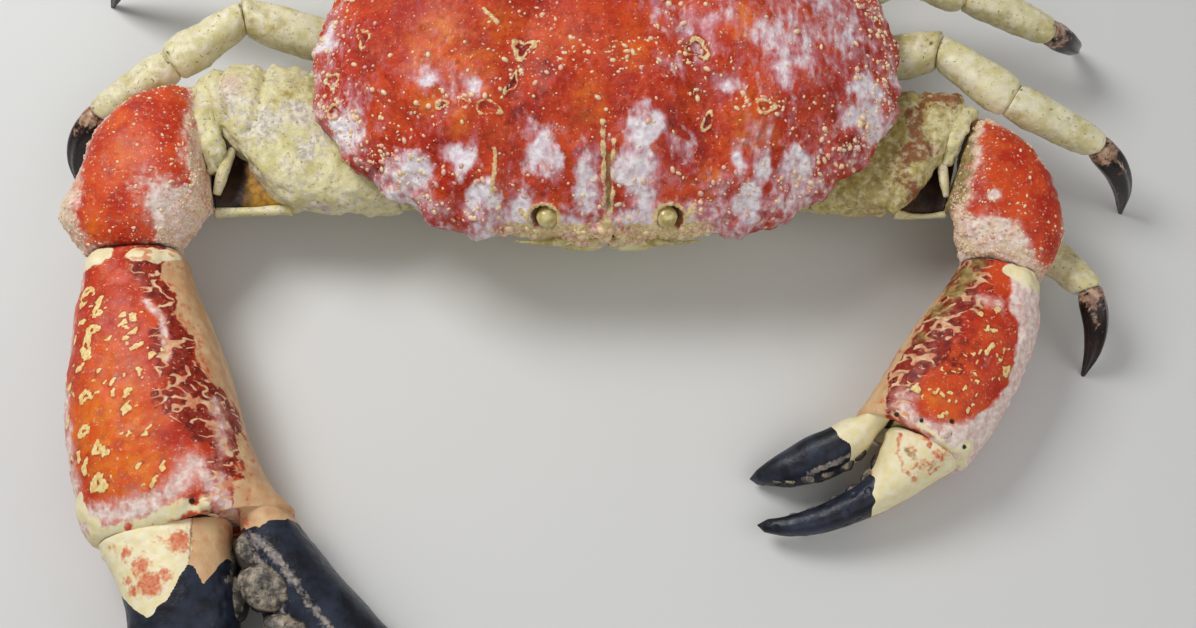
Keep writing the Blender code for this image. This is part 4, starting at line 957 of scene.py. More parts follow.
def buildEye(side):
    middle = Vector((side * eyes["x"], eyes["y"], eyes["z"]))
    inward = Vector((-side * eyes["inward"][0], *eyes["inward"][1:])).normalized()
    root = middle + inward * 0.015
    across = inward.cross(Vector((0, 0, 1))).normalized()
    rise = across.cross(inward)
    rows = []
    for share, size in face["eyeShares"]:
        radius = eyes["stalk"] * size
        rows.append((*root.lerp(middle, share), *(across * radius), *(rise * radius), *(rise * radius)))
    name = "eyeLeft" if side > 0 else "eyeRight"
    tip = tuple(root.lerp(middle, 1.43))
    piece, share, *_ = limb(name, rows, around=40, along=40, fullness=2.0, ends=(0.0, 0.0), tip=tip)
    co = places(piece)
    swell(piece, 0.00015 * grain(co, 0.0016, 33))
    outer = (co - np.array(middle)) @ np.array((side * 0.8, -0.1, -0.4))
    paint(piece, "dark", 0.8 * smoothStep(outer, 0.0034, 0.0048) * smoothStep(share, 0.4, 0.6))
    return piece


def buildBrowTooth(name, x, y, z, half, reach):
    root = Vector((x, y + 0.012, z + 0.002))
    end = Vector((x, y - reach * 0.5, z - 0.002))
    rows = []
    for share, size in face["toothShares"]:
        rise = (0, 0, half * 0.8 * size)
        rows.append((*root.lerp(end, share), half * size, 0, 0, *rise, *rise))
    piece, share, *_ = limb(name, rows, around=28, along=24, fullness=2.0, ends=(0.0, 0.001))
    co = places(piece)
    swell(piece, 0.0004 * grain(co, 0.003, 34))
    frost = 0.42 + 0.15 * grain(co, 0.006, 35)
    paintAll(piece, redMasks, frost=frost, cream=0.7 * smoothStep(share, 0.72, 0.98))
    finish(piece, "shell_red", shellRed)


def feelerRows(side, path):
    return pathRows([(side * x, y, z, radius) for x, y, z, radius in path])


def buildFeelers(side, word):
    rows = feelerRows(side, face["antenna"])
    name = "antenna" + word.title()
    piece, share, *_ = limb(name, rows, around=20, along=90, fullness=2.0, ends=(0.001, 0.0004))
    ringed = 0.5 + 0.5 * np.sin(share * face["antennaRings"])
    swell(piece, 0.00012 * ringed)
    paintAll(piece, creamMasks, olive=0.45, rust=0.3 * (1.0 - ringed) * smoothStep(share, 0.35, 0.5))
    finish(piece, "shell_cream", creamShell, "antenna_" + word)
    rows = feelerRows(side, face["antennule"])
    name = "antennule" + word.title()
    piece, *_ = limb(name, rows, around=20, along=40, fullness=2.0, ends=(0.001, 0.001))
    paintAll(piece, creamMasks, olive=0.35)
    finish(piece, "shell_cream", creamShell, "antennule_" + word)


def buildMouthPlate(side, word):
    rows = []
    for y, z, inner, outer, thick in face["mouthPlate"]:
        out = Vector((0, -0.8, -0.6)) * thick
        rows.append((side * (inner + outer) / 2, y, z, (outer - inner) / 2, 0, 0, *out, *out))
    name = "mouthPlate" + word.title()
    piece, share, *_ = limb(name, rows, around=64, along=80, fullness=2.8, ends=(0.002, 0.002))
    seam = bell(share - 0.3, 0.012)
    co = places(piece)
    away, owner = pebbles(co, 0.004, 36)
    fuzz = smoothStep(0.4 - away, 0.0, 0.3) * (owner < 0.4)
    swell(piece, -0.0009 * seam + 0.0003 * grain(co, 0.004, 31) + 0.0003 * fuzz)
    rust = 0.3 * smoothStep(grain(co, 0.012, 37), 0.0, 0.8)
    paintAll(piece, creamMasks, olive=0.25, dark=0.45 * seam, rust=rust)
    finish(piece, "shell_cream", creamShell, "maxilliped_" + word)


for side, word in ((-1, "right"), (1, "left")):
    finish(buildEye(side), "eye", eyeShell, "eye_" + word)
    for index, (x, y, z, half, reach) in enumerate(face["teeth"]):
        buildBrowTooth("browTooth" + word.title() + str(index), side * x, y, z, half, reach)
    buildFeelers(side, word)
    buildMouthPlate(side, word)


def stripLumps():
    # cream lumps along the strip under the brow
    half, middleZ, count = face["strip"]
    draw = random.Random(17)
    spots = []
    for _ in range(count):
        x = draw.uniform(-half, half)
        if abs(abs(x) - eyes["x"]) < 0.006:
            continue
        at = Vector((x, -0.16, middleZ + draw.uniform(-0.01, 0.011)))
        hit, spot, normal, _ = carapace.ray_cast(at, Vector((0, 1, 0)))
        if hit and all(math.hypot(spot.x - px, spot.z - pz) > size * 1.3 for px, pz, size in shell["pits"]):
            spots.append((spot, normal))
    return addBeads("browLumps", spots, 0.0016, 18)


finish(stripLumps(), "shell_cream", beadShell)
print("face")


# the claws, from the body out: hip, arm, wrist, palm with its fixed finger, movable finger
crusher = {
    "label": "crusher", "word": "right", "inward": 1.0,
    # each row stands upright from one plan point to another: front, back, low, high
    "hip": mm(
        ((-74, -86), (-74, -36), 28, 54), ((-100, -90), (-100, -28), 28, 58),
        ((-124, -93), (-124, -20), 29, 62),
    ),
    "arm": mm(
        ((-124, -93), (-124, -20), 29, 62), ((-140, -96), (-142, -13), 30, 68),
        ((-165, -97), (-172, -9), 32, 73), ((-187, -96), (-199, -6.5), 33, 77),
        ((-197, -91), (-213, -5.5), 34, 78), ((-206.5, -79), (-226, -6), 34, 78),
        ((-216.5, -65), (-237, -9), 35, 77), ((-225.5, -55.5), (-243.5, -13.5), 36, 75),
        ((-231, -50), (-246, -20), 38, 72),
    ),
    "skin": mm(
        ((-190, -93), (-203, -55), 36, 56), ((-205, -93), (-215, -48), 37, 51),
        ((-220, -93.5), (-230, -44), 37, 47), ((-234, -96), (-242, -42), 38, 52),
    ),
    "strut": mm(
        (-188, -94.5, 47, 3.6), (-200, -95.5, 47, 3.2), (-215, -96.2, 47, 2.6), (-233.5, -97, 47, 3.2),
    ),
    "tongue": mm(
        (-224, -60, 58, 2), (-226.2, -69, 60, 3.4), (-229.2, -80, 58, 3.6), (-231.8, -88.5, 54, 2.2),
    ),
    "jointPlate": mm(
        (-245, -17, 62, 5), (-241, -32, 66, 8), (-238.5, -48, 66, 8.2), (-235, -64, 64, 7),
        (-232.5, -76, 58, 4),
    ),
    "knobs": mm((-223.5, -30, 13.5, 3), (-234.5, -40, 9, 1.6), (-187, -10, 8, 2.6), (-203, -9, 6, 1.8)),
    "armGrooves": mm(
        ((-207, -3), (-205, -24), (-206.5, -50), (-212, -64)), ((-231, -10), (-230, -30), (-226, -48)),
    ),
    "armPink": glows((-223, -28, 18, 0.9), (-215, -50, 12, 0.6)),
    "armGrey": glows((-199, -55, 14, 0.8), (-183, -45, 12, 0.8), (-218, -40, 10, 0.7), (-170, -65, 12, 0.6)),
    "armOlive": glows(
        (-185, -25, 20, 1.0), (-165, -70, 16, 0.8), (-200, -20, 10, 0.5), (-155, -40, 12, 0.8),
        (-208, -70, 7, 0.7),
    ),
    "armRust": 0.05, "armTone": 0.02, "skinOchre": 0.92,
    "wrist": mm(
        ((-246.5, -19), (-234, -98), 38, 72), ((-256, -19.5), (-234.2, -99.2), 34, 81),
        ((-275, -24.5), (-234.5, -100.5), 33, 87), ((-293, -37.5), (-235, -102), 33, 90),
        ((-304.5, -56), (-236, -104), 33, 90), ((-309.5, -76), (-238, -107), 33, 88),
        ((-314, -93), (-241, -111), 32, 85), ((-316, -105), (-245, -115.5), 31, 82),
        ((-311, -119), (-249, -120), 30, 78), ((-302.5, -130), (-250, -124.5), 28, 73),
    ),
    "wristField": mm(
        (-274.1, -26.2), (-260.9, -24.6), (-250.2, -28.6), (-248.4, -49.5), (-247.4, -67.5), (-243.8, -83),
        (-239.6, -95), (-247.5, -101), (-256.3, -109), (-258.6, -120), (-261.6, -126.6), (-273.7, -129.2),
        (-287.7, -129.8), (-299, -126), (-303.3, -118.2), (-305, -103.8), (-303, -93.7), (-305, -81.5),
        (-303, -69), (-297.5, -55.3), (-291.2, -43.8), (-282.6, -32.1),
    ),
    "wristAmber": glows((-276, -80, 16, 1.0), (-296, -120, 10, 0.9), (-286, -60, 10, 0.6)),
    "wristPale": glows((-256, -105, 11, 1.0), (-266, -98, 9, 0.55), (-247, -108, 10, 1.0)),
    "wristOlive": (), "wristBeads": 800,
    # place, reach and height of each knob
    "wristKnobs": mm((-314.5, -105, 62, 12.5, 5), (-237, -104, 66, 5, 1.8)),
    "palm": mm(
        ((-302.5, -130), (-250, -124.5), 26, 70), ((-304.5, -147), (-243, -140), 18, 73),
        ((-307, -170), (-231, -165), 8, 77), ((-307, -200), (-217, -198), 1, 79),
        ((-305, -230), (-206, -228), -2, 79), ((-299, -258), (-195, -252), -2, 77),
        ((-292, -278), (-185, -266), 0, 74), ((-281, -298), (-176, -274), 4, 67),
    ),
    "palmGrid": (284, 330),
    # where the rubbed tan inner face begins, and where the dark mottling before it begins
    "tanLine": mm(
        (-253.5, -130), (-252, -147.9), (-246.7, -158.7), (-236.4, -176.8), (-224.1, -204.9),
        (-211.1, -217.3), (-203, -235.3), (-199.2, -262.3), (-200.7, -290),
    ),
    "deepRed": glows((-256, -156, 10, 0.45), (-248, -196, 12, 0.4)),
    "palmOlive": (),
    "darkLine": mm(
        (-270, -140), (-266.6, -151), (-253.3, -173.6), (-250, -197), (-248, -220.7), (-233, -240.4),
        (-218, -250.3), (-214.3, -263.2),
    ),
    "rimLine": (),
    "frostPaths": (
        (mm((-279, -285.7), (-260, -285), (-242, -280), (-230, -271), (-223, -259.5)), 0.008, 0.68),
        (mm((-223, -259.5), (-212.5, -270), (-204.7, -279.7)), 0.008, 0.6),
        (mm((-259, -165.9), (-249, -175), (-246, -185), (-242.5, -201)), 0.0026, 0.7),
        (mm((-217.1, -222.2), (-211.6, -236.8), (-208.2, -252)), 0.004, 0.55),
    ),
    "lobes": mm(
        (-285.2, -283, 5.8), (-288.5, -277, 4.4), (-293.5, -269.6, 2.8), (-278, -290, 5),
        (-292.5, -138, 7.2), (-288, -135, 6), (-269, -137.5, 6.6), (-260, -136.5, 7), (-254, -134, 5),
    ),
    "bumps": mm(
        (-292.2, -138.5, 8, 4.6), (-269, -139.5, 7, 3.2), (-260, -139, 7, 3), (-250, -134.5, 6, 2),
        (-212, -280, 5, 2.2), (-286, -282, 8, 2), (-225, -276.5, 3.4, 1.6), (-219.5, -273, 3, 1.4),
        (-229, -281, 3.6, 1.4), (-240, -284, 5, 1.2),
    ),
    "amber": glows(
        (-272, -235, 34, 1.1), (-260, -262, 24, 1.1), (-276, -200, 20, 0.7), (-282, -170, 12, 0.5),
    ),
    # pale spots of the upper face: x, y, half length; True marks a ring
    "spots": mm(
        (-294.4, -157, 3.2), (-285.3, -166, 4.5), (-296.7, -165.1, 3.5), (-285.4, -172.3, 3.2),
        (-294.1, -176.7, 2.8), (-286.7, -182.9, 3.8), (-270.5, -174.8, 2.4), (-264.8, -175.6, 2.8),
        (-269.1, -179.5, 2.6), (-262.5, -185, 3), (-266.7, -188.9, 2.8), (-276.2, -189.3, 2.3),
        (-260.3, -194.6, 3.4), (-250.9, -199.3, 3.3), (-289.2, -193, 4.8, True), (-291.1, -204.5, 3),
        (-279.7, -208.1, 2.1), (-256.9, -208.9, 2.5), (-263.9, -211, 1.8), (-270, -214.6, 2.5),
        (-268.8, -220.7, 2.5), (-261.7, -220.9, 2.9), (-285.4, -221.4, 3.8, True), (-261.3, -230.3, 3.3),
        (-285.1, -241.6, 3.4, True), (-258, -243.6, 2.5), (-249.7, -243.5, 2.3), (-251.6, -261.5, 2.3),
        (-238.7, -260.9, 2.7), (-242.8, -270.3, 2.9), (-287.7, -253.9, 3), (-283, -259.4, 4.2),
        (-275.4, -251.1, 3.6), (-270.6, -254.2, 2.7), (-273.7, -269.7, 4.8, True), (-299, -214, 3),
        (-298.5, -186, 2.8), (-297.5, -233, 2.8),
    ),
    "squiggle": 0.66, "slant": (0.55, 0.84), "spotWidth": 0.58, "sideSpots": 46,
    "pits": mm((-222.8, -279.5, 2), (-209, -287.5, 1.6)),
    "seamPath": mm(
        (-290, -296), (-267.8, -295), (-252.7, -292.5), (-238.1, -286.8), (-223.7, -280.5), (-215.8, -280),
    ),
    "seamRim": 0.0056, "fingerFrom": -0.211, "fingerCream": 0.0, "condyle": mm(-216.5, -280, 4.4),
    "split": 0.7, "ahead": (0.1, -1.0),
    "movable": mm(
        (15, 64), ((-270, -313), (-206, -302), 13, 65), ((-260, -333), (-201, -325), 11, 66),
        ((-255, -358), (-198, -352), 10, 62), ((-250, -384), (-196, -376), 10, 57),
        ((-240, -408), (-193, -395), 11, 50), ((-224, -427), (-188, -408), 13, 43),
        ((-206, -439), (-182, -420), 15, 37), ((-192, -443), (-178, -429), 18, 32),
    ),
    "movableTip": mm(-179, -440, 24),
    "fixed": mm(
        (4, 58), ((-201, -301), (-166, -290), 0, 56), ((-193, -323), (-148, -311), -1, 54),
        ((-180, -348), (-126, -333), -1, 50), ((-163, -373), (-107, -354), -1, 46),
        ((-147, -394), (-95, -377), -1, 41), ((-136, -411), (-92, -399), 0, 35),
        ((-130, -424), (-96, -418), 2, 28), ((-128, -433), (-108, -431), 5, 21),
    ),
    "fixedTip": mm(-122, -437, 13),
    # where the dark horn of the fingers begins; the first value is the axis that the line runs along
    "movableHorn": (
        0,
        mm(
            (-290, -316), (-270, -320), (-257.4, -329.2), (-241.9, -341.2), (-233, -333), (-228.9, -327),
            (-223, -311.6), (-220.5, -313), (-214, -322.5), (-206.1, -306), (-200, -300),
        ),
    ),
    "fixedHorn": (0, mm((-208, -290), (-188.6, -290), (-179.3, -286), (-165, -280), (-150, -276))),
    "movableTan": mm((-224, -285), (-222.5, -311.6), (-221.5, -330)),
    "fingerLobe": (),
    "blush": glows(
        (-229, -300, 7.5, 0.95), (-248, -313, 7, 0.8), (-242, -323, 8, 1.0), (-258, -306, 6, 0.65),
        (-234, -318, 6, 0.7), (-251, -326, 5, 0.7), (-240, -299, 5, 0.45), (-266, -302, 4, 0.5),
        (-256, -320, 5, 0.55),
    ),
    "worn": mm(
        7,
        (
            (-200.5, -294), (-196, -304.4), (-187.5, -314.6), (-180, -328.5), (-171, -344), (-159, -362),
            (-146, -379),
        ),
    ),
    "stripe": mm(
        3.4, ((-190, -295), (-181, -303), (-174, -311), (-164.2, -324.4), (-153.2, -337.8), (-140, -354)),
    ),
    # biting lumps: share of the finger, radius, how far they stand out, height above the floor
    "teeth": (
        (0.13, 0.01, 0.003, 0.034), (0.25, 0.0135, 0.0045, 0.034), (0.39, 0.0135, 0.005, 0.033),
        (0.52, 0.0115, 0.0045, 0.03), (0.64, 0.009, 0.0036, 0.027), (0.75, 0.0068, 0.0028, 0.024),
    ),
    "lowerTeethLift": 0.009, "seed": 41,
}
cutter = {
    "label": "cutter", "word": "left", "inward": -1.0,
    "hip": mm(
        ((74, -86), (74, -42), 28, 52), ((100, -90), (100, -36), 28, 55), ((122, -93), (122, -30), 29, 58),
    ),
    "arm": mm(
        ((122, -93), (122, -30), 29, 58), ((136, -97), (139, -25), 31, 63), ((158, -99), (164, -23), 34, 67),
        ((172.5, -98.5), (183, -22.5), 35, 70), ((181.5, -90.5), (196, -23), 35, 71),
        ((190, -79), (208, -25), 36, 71), ((198, -69), (216.5, -30), 37, 69),
        ((203, -63), (221, -37.5), 39, 66),
    ),
    "skin": mm(
        ((174, -96), (184, -60), 37, 52), ((184, -95.5), (194, -56), 37, 47),
        ((194, -95), (204, -52), 38, 45), ((202.2, -95.5), (215, -48), 39, 50),
    ),
    "strut": mm((172, -96.5, 45, 3), (183, -97.5, 44, 1.8), (193, -97.5, 44, 1.6), (203, -96.8, 45, 2.2)),
    "tongue": mm((201, -64, 56, 1.6), (200.5, -72, 58, 2.6), (201, -82, 57, 2.6), (202.2, -90, 54, 1.6)),
    "jointPlate": mm(
        (220.5, -38, 62, 3.6), (215, -45, 66, 5), (209.5, -54, 66, 5), (205.5, -63, 63, 4),
        (203.5, -70, 58, 2.4),
    ),
    "knobs": mm((204, -33, 10, 2.2), (185, -26, 6, 1.8)),
    "armGrooves": mm(((190, -20), (188, -38), (190, -56), (193, -68))),
    "armPink": glows((203, -42, 10, 0.6), (196, -33, 8, 0.5)),
    "armGrey": glows((198, -52, 8, 0.6), (170, -40, 8, 0.4)),
    "armOlive": glows((180, -35, 14, 1.0), (165, -60, 22, 0.9), (155, -85, 20, 0.8), (195, -35, 10, 0.7)),
    "armRust": 0.74, "armTone": 0.4, "skinOchre": 0.22,
    "wrist": mm(
        ((221.5, -37.5), (202.5, -96), 39, 66), ((229, -40.5), (203, -97.5), 37, 73),
        ((243, -51.5), (203.5, -99), 36, 79), ((255.5, -66), (204, -101), 35, 81),
        ((263.5, -84), (204.5, -104), 34, 81), ((267, -103), (205, -108.5), 33, 79),
        ((266, -120), (206, -117), 31, 76), ((260, -133), (208, -123), 29, 71),
        ((253, -141.5), (210, -128.5), 26, 64),
    ),
    "wristField": mm(
        (226.3, -48.3), (238.7, -55.1), (249.8, -67.8), (259.1, -84), (263.7, -100), (265.2, -117.5),
        (261.9, -130.7), (254.7, -137.7), (248, -135.7), (242.2, -126.4), (236.9, -117.4), (227.6, -114.3),
        (218.6, -112.7), (211.8, -115.8), (210.5, -106), (213.8, -90.8), (218.3, -73.4), (222.5, -58.6),
    ),
    "wristAmber": glows((228, -70, 7, 0.8), (222, -62, 6, 0.6)),
    "wristPale": glows(
        (215, -118, 9, 0.5), (224, -120, 9, 0.52), (233, -128, 8, 0.42), (223.2, -101, 3.4, 1.3),
    ),
    "wristOlive": glows(
        (215, -50, 7, 1.2), (211, -61, 8, 1.3), (208, -72, 8, 1.3), (205.5, -84, 7.5, 1.3),
        (205, -95, 6, 1.2),
    ),
    "wristBeads": 620,
    "wristKnobs": mm((204, -108, 62, 4.2, 2.2), (212, -126, 60, 4, 1.4), (265.5, -116, 56, 5, 1.2)),
    "palm": mm(
        ((253, -141.5), (210, -128.5), 24, 62), ((252, -158), (200, -142), 16, 65),
        ((248, -179), (183, -162), 6, 66), ((238, -201), (169, -183), 0, 64),
        ((226, -222), (157, -200), -2, 61), ((214, -238), (150, -210), -1, 58),
        ((201, -250), (145, -216), 3, 55),
    ),
    "palmGrid": (236, 290),
    "tanLine": mm(
        (205, -125), (201.5, -138), (193.2, -152.5), (182, -170.5), (171.5, -184), (164, -195.9),
        (158.5, -205.3), (157.9, -217.1), (155, -240),
    ),
    "deepRed": glows((204.9, -189.4, 13, 0.55), (213, -168, 12, 0.5), (195, -200, 10, 0.45)),
    "palmOlive": glows(
        (215, -135, 8, 0.66), (208, -142, 10, 0.7), (200, -152, 10, 0.66), (190, -164, 9, 0.62),
        (180, -180, 7, 0.55),
    ),
    "darkLine": mm(
        (230, -130), (223, -145), (215, -160), (205.9, -173.9), (199.3, -185.8), (193, -195.2),
        (183.5, -203.1), (175, -208.2), (170, -220),
    ),
    "rimLine": mm(
        (234, -130), (230, -150), (229, -164), (233, -178), (231, -190), (229, -200), (226, -208.8),
        (214, -222), (198, -232), (170, -242),
    ),
    "frostPaths": (
        (mm((208, -230), (196, -234), (185, -236), (172, -231), (165, -220)), 0.005, 0.7),
        (mm((222, -164), (212, -160)), 0.004, 0.55), (mm((170, -216), (165, -214)), 0.005, 0.6),
    ),
    "lobes": mm((240, -144, 8), (232, -142, 5), (247, -148, 6), (200, -244, 5)),
    "bumps": mm(
        (240, -146, 7, 2.6), (184, -229, 3.6, 1.6), (174, -227, 3, 1.4), (193, -235, 3.6, 1.4),
        (169, -222, 2.6, 1.2), (201, -242, 5, 1.6),
    ),
    "amber": glows((183, -218, 9, 1.0), (190, -224, 10, 0.9)),
    "spots": mm(
        (214.7, -178.3, 1.8), (215.1, -189.5, 3), (205.6, -192.6, 1.5), (223.5, -190.6, 1.5),
        (225.3, -200.6, 2.6, True), (207.6, -197.1, 1.5), (190.1, -203.9, 1.4), (184.5, -214.2, 2.4),
        (190.9, -214.7, 1.6), (199.3, -212.7, 1.6), (205.6, -215.8, 1.7), (201.3, -224.4, 2),
        (186.1, -227.7, 1.8), (173.1, -211.7, 3.2), (216.8, -206.2, 1.4), (221.5, -166.6, 2.6),
        (212, -170, 2), (219, -180, 1.4), (197, -205, 1.4), (210, -186, 1.4), (221, -196, 1.3),
        (195, -220, 1.4), (208, -208, 1.4),
    ),
    "squiggle": 0.72, "slant": (-0.55, -0.84), "spotWidth": 0.62, "sideSpots": 18,
    "pits": mm((162, -225.3, 1.8), (175.4, -229.7, 1.6), (192.3, -230.4, 1.8), (199, -243, 1.4)),
    "seamPath": mm((205, -252), (195, -246), (180, -236), (170, -230), (162, -224)),
    "seamRim": 0.0016, "fingerFrom": 0.158, "fingerCream": 0.9, "condyle": mm(188, -237, 3), "split": 0.72,
    "ahead": (-0.42, -0.9),
    "movable": mm(
        (8, 51), ((184, -259), (157, -237), 8, 48), ((168, -268), (152, -248), 8, 44),
        ((152, -275.5), (144, -257), 8, 38), ((134, -281.5), (131, -264.5), 8, 32),
        ((115, -285), (115.5, -271), 8, 26), ((99, -285), (101, -274.5), 9, 21),
        ((90, -282.5), (92, -275.5), 10, 17),
    ),
    "movableTip": mm(86, -278.5, 13),
    "fixed": mm(
        (3, 44), ((150, -237), (137, -220), 0, 42), ((138, -247), (127, -224.5), -1, 38),
        ((123, -253), (115, -229), -1, 33), ((108, -255), (104, -234.5), -1, 27),
        ((96, -254), (94, -240.5), 0, 21), ((88, -252.5), (87, -245.5), 2, 15),
    ),
    "fixedTip": mm(83, -250, 8),
    "movableHorn": (1, mm((-230, 142), (-245, 144), (-256, 150), (-266, 149), (-276, 150))),
    "fixedHorn": (1, mm((-215, 126), (-225, 129), (-232.7, 131), (-237.8, 137), (-250, 141))),
    "movableTan": mm((156, -230), (150, -248), (148, -260), (147, -270)),
    "fingerLobe": mm(
        (164.5, -234.7), (162.8, -245.3), (165, -254.5), (171, -259.8), (179.4, -257.2), (188, -251),
    ),
    "blush": glows(
        (179, -237, 3.4, 0.9), (180, -242, 2.6, 0.8), (185, -248, 6, 0.6), (174, -252, 6, 0.58),
        (170, -244, 5, 0.56), (180, -253, 4, 0.56), (190, -244, 5, 0.58),
    ),
    "worn": mm(1.6, ((140, -242), (130, -247), (115, -252))), "stripe": mm(1.2, ((170, -250), (164, -256))),
    "teeth": (
        (0.22, 0.0042, 0.002, 0.022), (0.34, 0.0046, 0.0022, 0.021), (0.46, 0.0044, 0.0022, 0.019),
        (0.58, 0.0038, 0.002, 0.017), (0.7, 0.0034, 0.002, 0.014), (0.8, 0.0028, 0.0018, 0.012),
    ),
    "lowerTeethLift": 0.003, "seed": 43,
}


def midPoint(a, b, share):
    return tuple(p + (q - p) * share for p, q in zip(a, b))


def alongFinger(rows, share):
    place = share * (len(rows) - 1)
    index = min(int(place), len(rows) - 2)
    return [midPoint(rows[index][edge], rows[index + 1][edge], place - index) for edge in (0, 1)]


def spotShape(warped, x, y, half, turn, width, hollow, notch):
    # how far from a pale spot's middle the points lie; its edge is at one
    u, v = turned(warped[:, 0] - x, warped[:, 1] - y, turn)
    u, v = u / half, v / (half * width)
    bearing = np.arctan2(v, u)
    outOfRound = 1.0 + 0.22 * np.cos(2.0 * bearing + notch) + 0.16 * np.cos(3.0 * bearing - notch)
    far = np.hypot(u, v) / outOfRound
    return np.abs(far - 0.78) * 2.2 if hollow else far


def paleSpots(co, up, side, claw):
    # long pale spots laid along the slant, out of round, some of them rings, each with a dark edge
    draw = random.Random(claw["seed"])
    warped = co + 0.0013 * np.stack([grain(co, 0.003, 120 + k) for k in range(3)], axis=1)
    spot = np.zeros(len(co))
    halo = np.zeros(len(co))
    slant = math.atan2(claw["slant"][1], claw["slant"][0])
    upper = np.flatnonzero(up > 0.05)
    for x, y, half, *hollow in claw["spots"]:
        turn = slant + draw.uniform(-0.5, 0.5)
        ringed = bool(hollow) or (half > 0.003 and draw.random() < 0.35)
        marks = [(x, y, half * 0.98, turn, ringed)]
        for _ in range(draw.choice((0, 1, 1, 2))):
            away = draw.uniform(0.0, 2.0 * math.pi)
            reach = half + draw.uniform(0.0016, 0.003)
            small = draw.uniform(0.0008, 0.0015)
            marks.append((x + reach * math.cos(away), y + reach * math.sin(away), small, away, False))
        for mx, my, size, turn, ringed in marks:
            near = upper[np.hypot(co[upper, 0] - mx, co[upper, 1] - my) < size * 3.0]
            width = claw["spotWidth"] * (1.25 if ringed else 1.0)
            far = spotShape(warped[near], mx, my, size, turn, width, ringed, draw.uniform(0.0, 6.0))
            spot[near] = np.maximum(spot[near], 1.0 - smoothStep(far, 0.75, 1.2))
            halo[near] = np.maximum(halo[near], 1.0 - smoothStep(far, 1.0, 1.9))
    # the outer side carries some too, placed at random
    free = np.flatnonzero((side < -0.55) & (up < 0.15) & (up > -0.75))
    for _ in range(claw["sideSpots"]):
        middle = co[free[draw.randrange(len(free))]]
        half = draw.choice((0.0016, 0.0022, 0.0028))
        far = np.linalg.norm(warped - middle, axis=1) / half
        spot = np.maximum(spot, 1.0 - smoothStep(far, 0.75, 1.2))
        halo = np.maximum(halo, 1.0 - smoothStep(far, 1.0, 1.8))
    return spot, halo


def biteLumps(name, claw, rows, edge, lift):
    # blunt lumps in a row, rubbed pale on top: modelled once, then copied at each place
    one, faces = oneBall(36, 24)
    copies, tops = [], []
    for index, (share, radius, reach, height) in enumerate(claw["teeth"]):
        edges = alongFinger(rows, share)
        after = alongFinger(rows, min(1.0, share + 0.05))
        inward = (Vector(edges[1 - edge]) - Vector(edges[edge])).normalized()
        run = (Vector(after[edge]) - Vector(edges[edge])).normalized()
        middle = Vector((*edges[edge], height + lift)) + Vector((*inward, 0.0)) * (radius - reach)
        rough = 0.16 * grain(one + index * 3.1, 0.75, 51) + 0.07 * grain(one + index, 0.3, 53)
        shaped = np.sign(one) * np.abs(one) ** 0.82 * (1.0 + rough)[:, None]
        long, wide, tall = (shaped * radius * np.array((1.18, 1.0, 0.95))).T
        spot = np.stack([run[0] * long + inward[0] * wide, run[1] * long + inward[1] * wide, tall], axis=1)
        copies.append(spot + np.array(middle))
        tops.append(smoothStep(one[:, 2] + 0.35 * grain(one + index, 0.5, 54), -0.1, 0.75))
    piece = joinCopies(name, copies, faces)
    faceOutward(piece)
    swell(piece, 0.0004 * grain(places(piece), 0.003, 52))
    paint(piece, "worn", -0.12 + 0.62 * np.concatenate(tops))
    finish(piece, "shell_cream", molarShell)


def buildClawHip(claw, nodeName):
    rows = planRows(claw["hip"])
    piece, *_ = limb(claw["label"] + "Hip", rows, around=80, along=50, fullness=2.6, ends=(0.002, 0.002))
    co = places(piece)
    swell(piece, 0.0008 * grain(co, 0.01, 60))
    paintAll(piece, creamMasks, olive=0.35, frost=0.3 + 0.2 * grain(co, 0.012, 59))
    finish(piece, "shell_cream", creamShell, nodeName)


def buildArm(claw, nodeName):
    name, rows = claw["label"] + "Arm", planRows(claw["arm"])
    piece, share, side, up = limb(name, rows, around=190, along=170, fullness=2.8, ends=(0.002, 0.004))
    co = places(piece)
    x, y = co[:, 0], co[:, 1]
    away, owner = pebbles(co, 0.005, 61)
    pits = smoothStep(0.42 - away, 0.0, 0.25) * (owner < 0.4)
    rims = smoothStep(np.abs(side), 0.8, 0.98)
    height = 0.0016 * grain(co, 0.018, 62) + 0.0008 * grain(co, 0.007, 63)
    height += 0.0004 * grain(co, 0.003, 67) - 0.0007 * pits
    height += 0.002 * rims * grain(co, 0.006, 64) + 0.0006 * np.abs(grain(co, 0.009, 58))
    for knob in claw["knobs"]:
        height += patches(x, y, (knob,))
    groove = pathGlow(x, y, 0.0024, *claw["armGrooves"])
    height -= 0.0024 * groove * (up > -0.2)
    swell(piece, height)
    top = smoothStep(up, -0.3, 0.2)
    tone = claw["armTone"]
    grey = 0.3 - tone * 0.75 + top * patches(x, y, claw["armGrey"]) * 0.45 + 0.15 * rims
    reddest = smoothStep(share, 0.35, 0.7) * (1.0 - smoothStep(share, 0.9, 0.97))
    # dark: painted shade in the grooves on top and in some of the pits
    paintAll(
        piece, creamMasks, frost=grey + 0.2 * grain(co, 0.012, 66),
        olive=tone + top * patches(x, y, claw["armOlive"]) * 0.4 + 0.16 * grain(co, 0.016, 65),
        pink=top * patches(x, y, claw["armPink"]) * 0.6 + 0.25 * rims * smoothStep(share, 0.6, 0.9),
        rust=claw["armRust"] * reddest * smoothStep(grain(co, 0.012, 68), -0.5, 0.3) + 0.1 * pits,
        dark=0.15 * pits * smoothStep(owner, 0.0, 0.2) + 0.42 * groove * top,
    )
    finish(piece, "shell_cream", creamShell, nodeName)


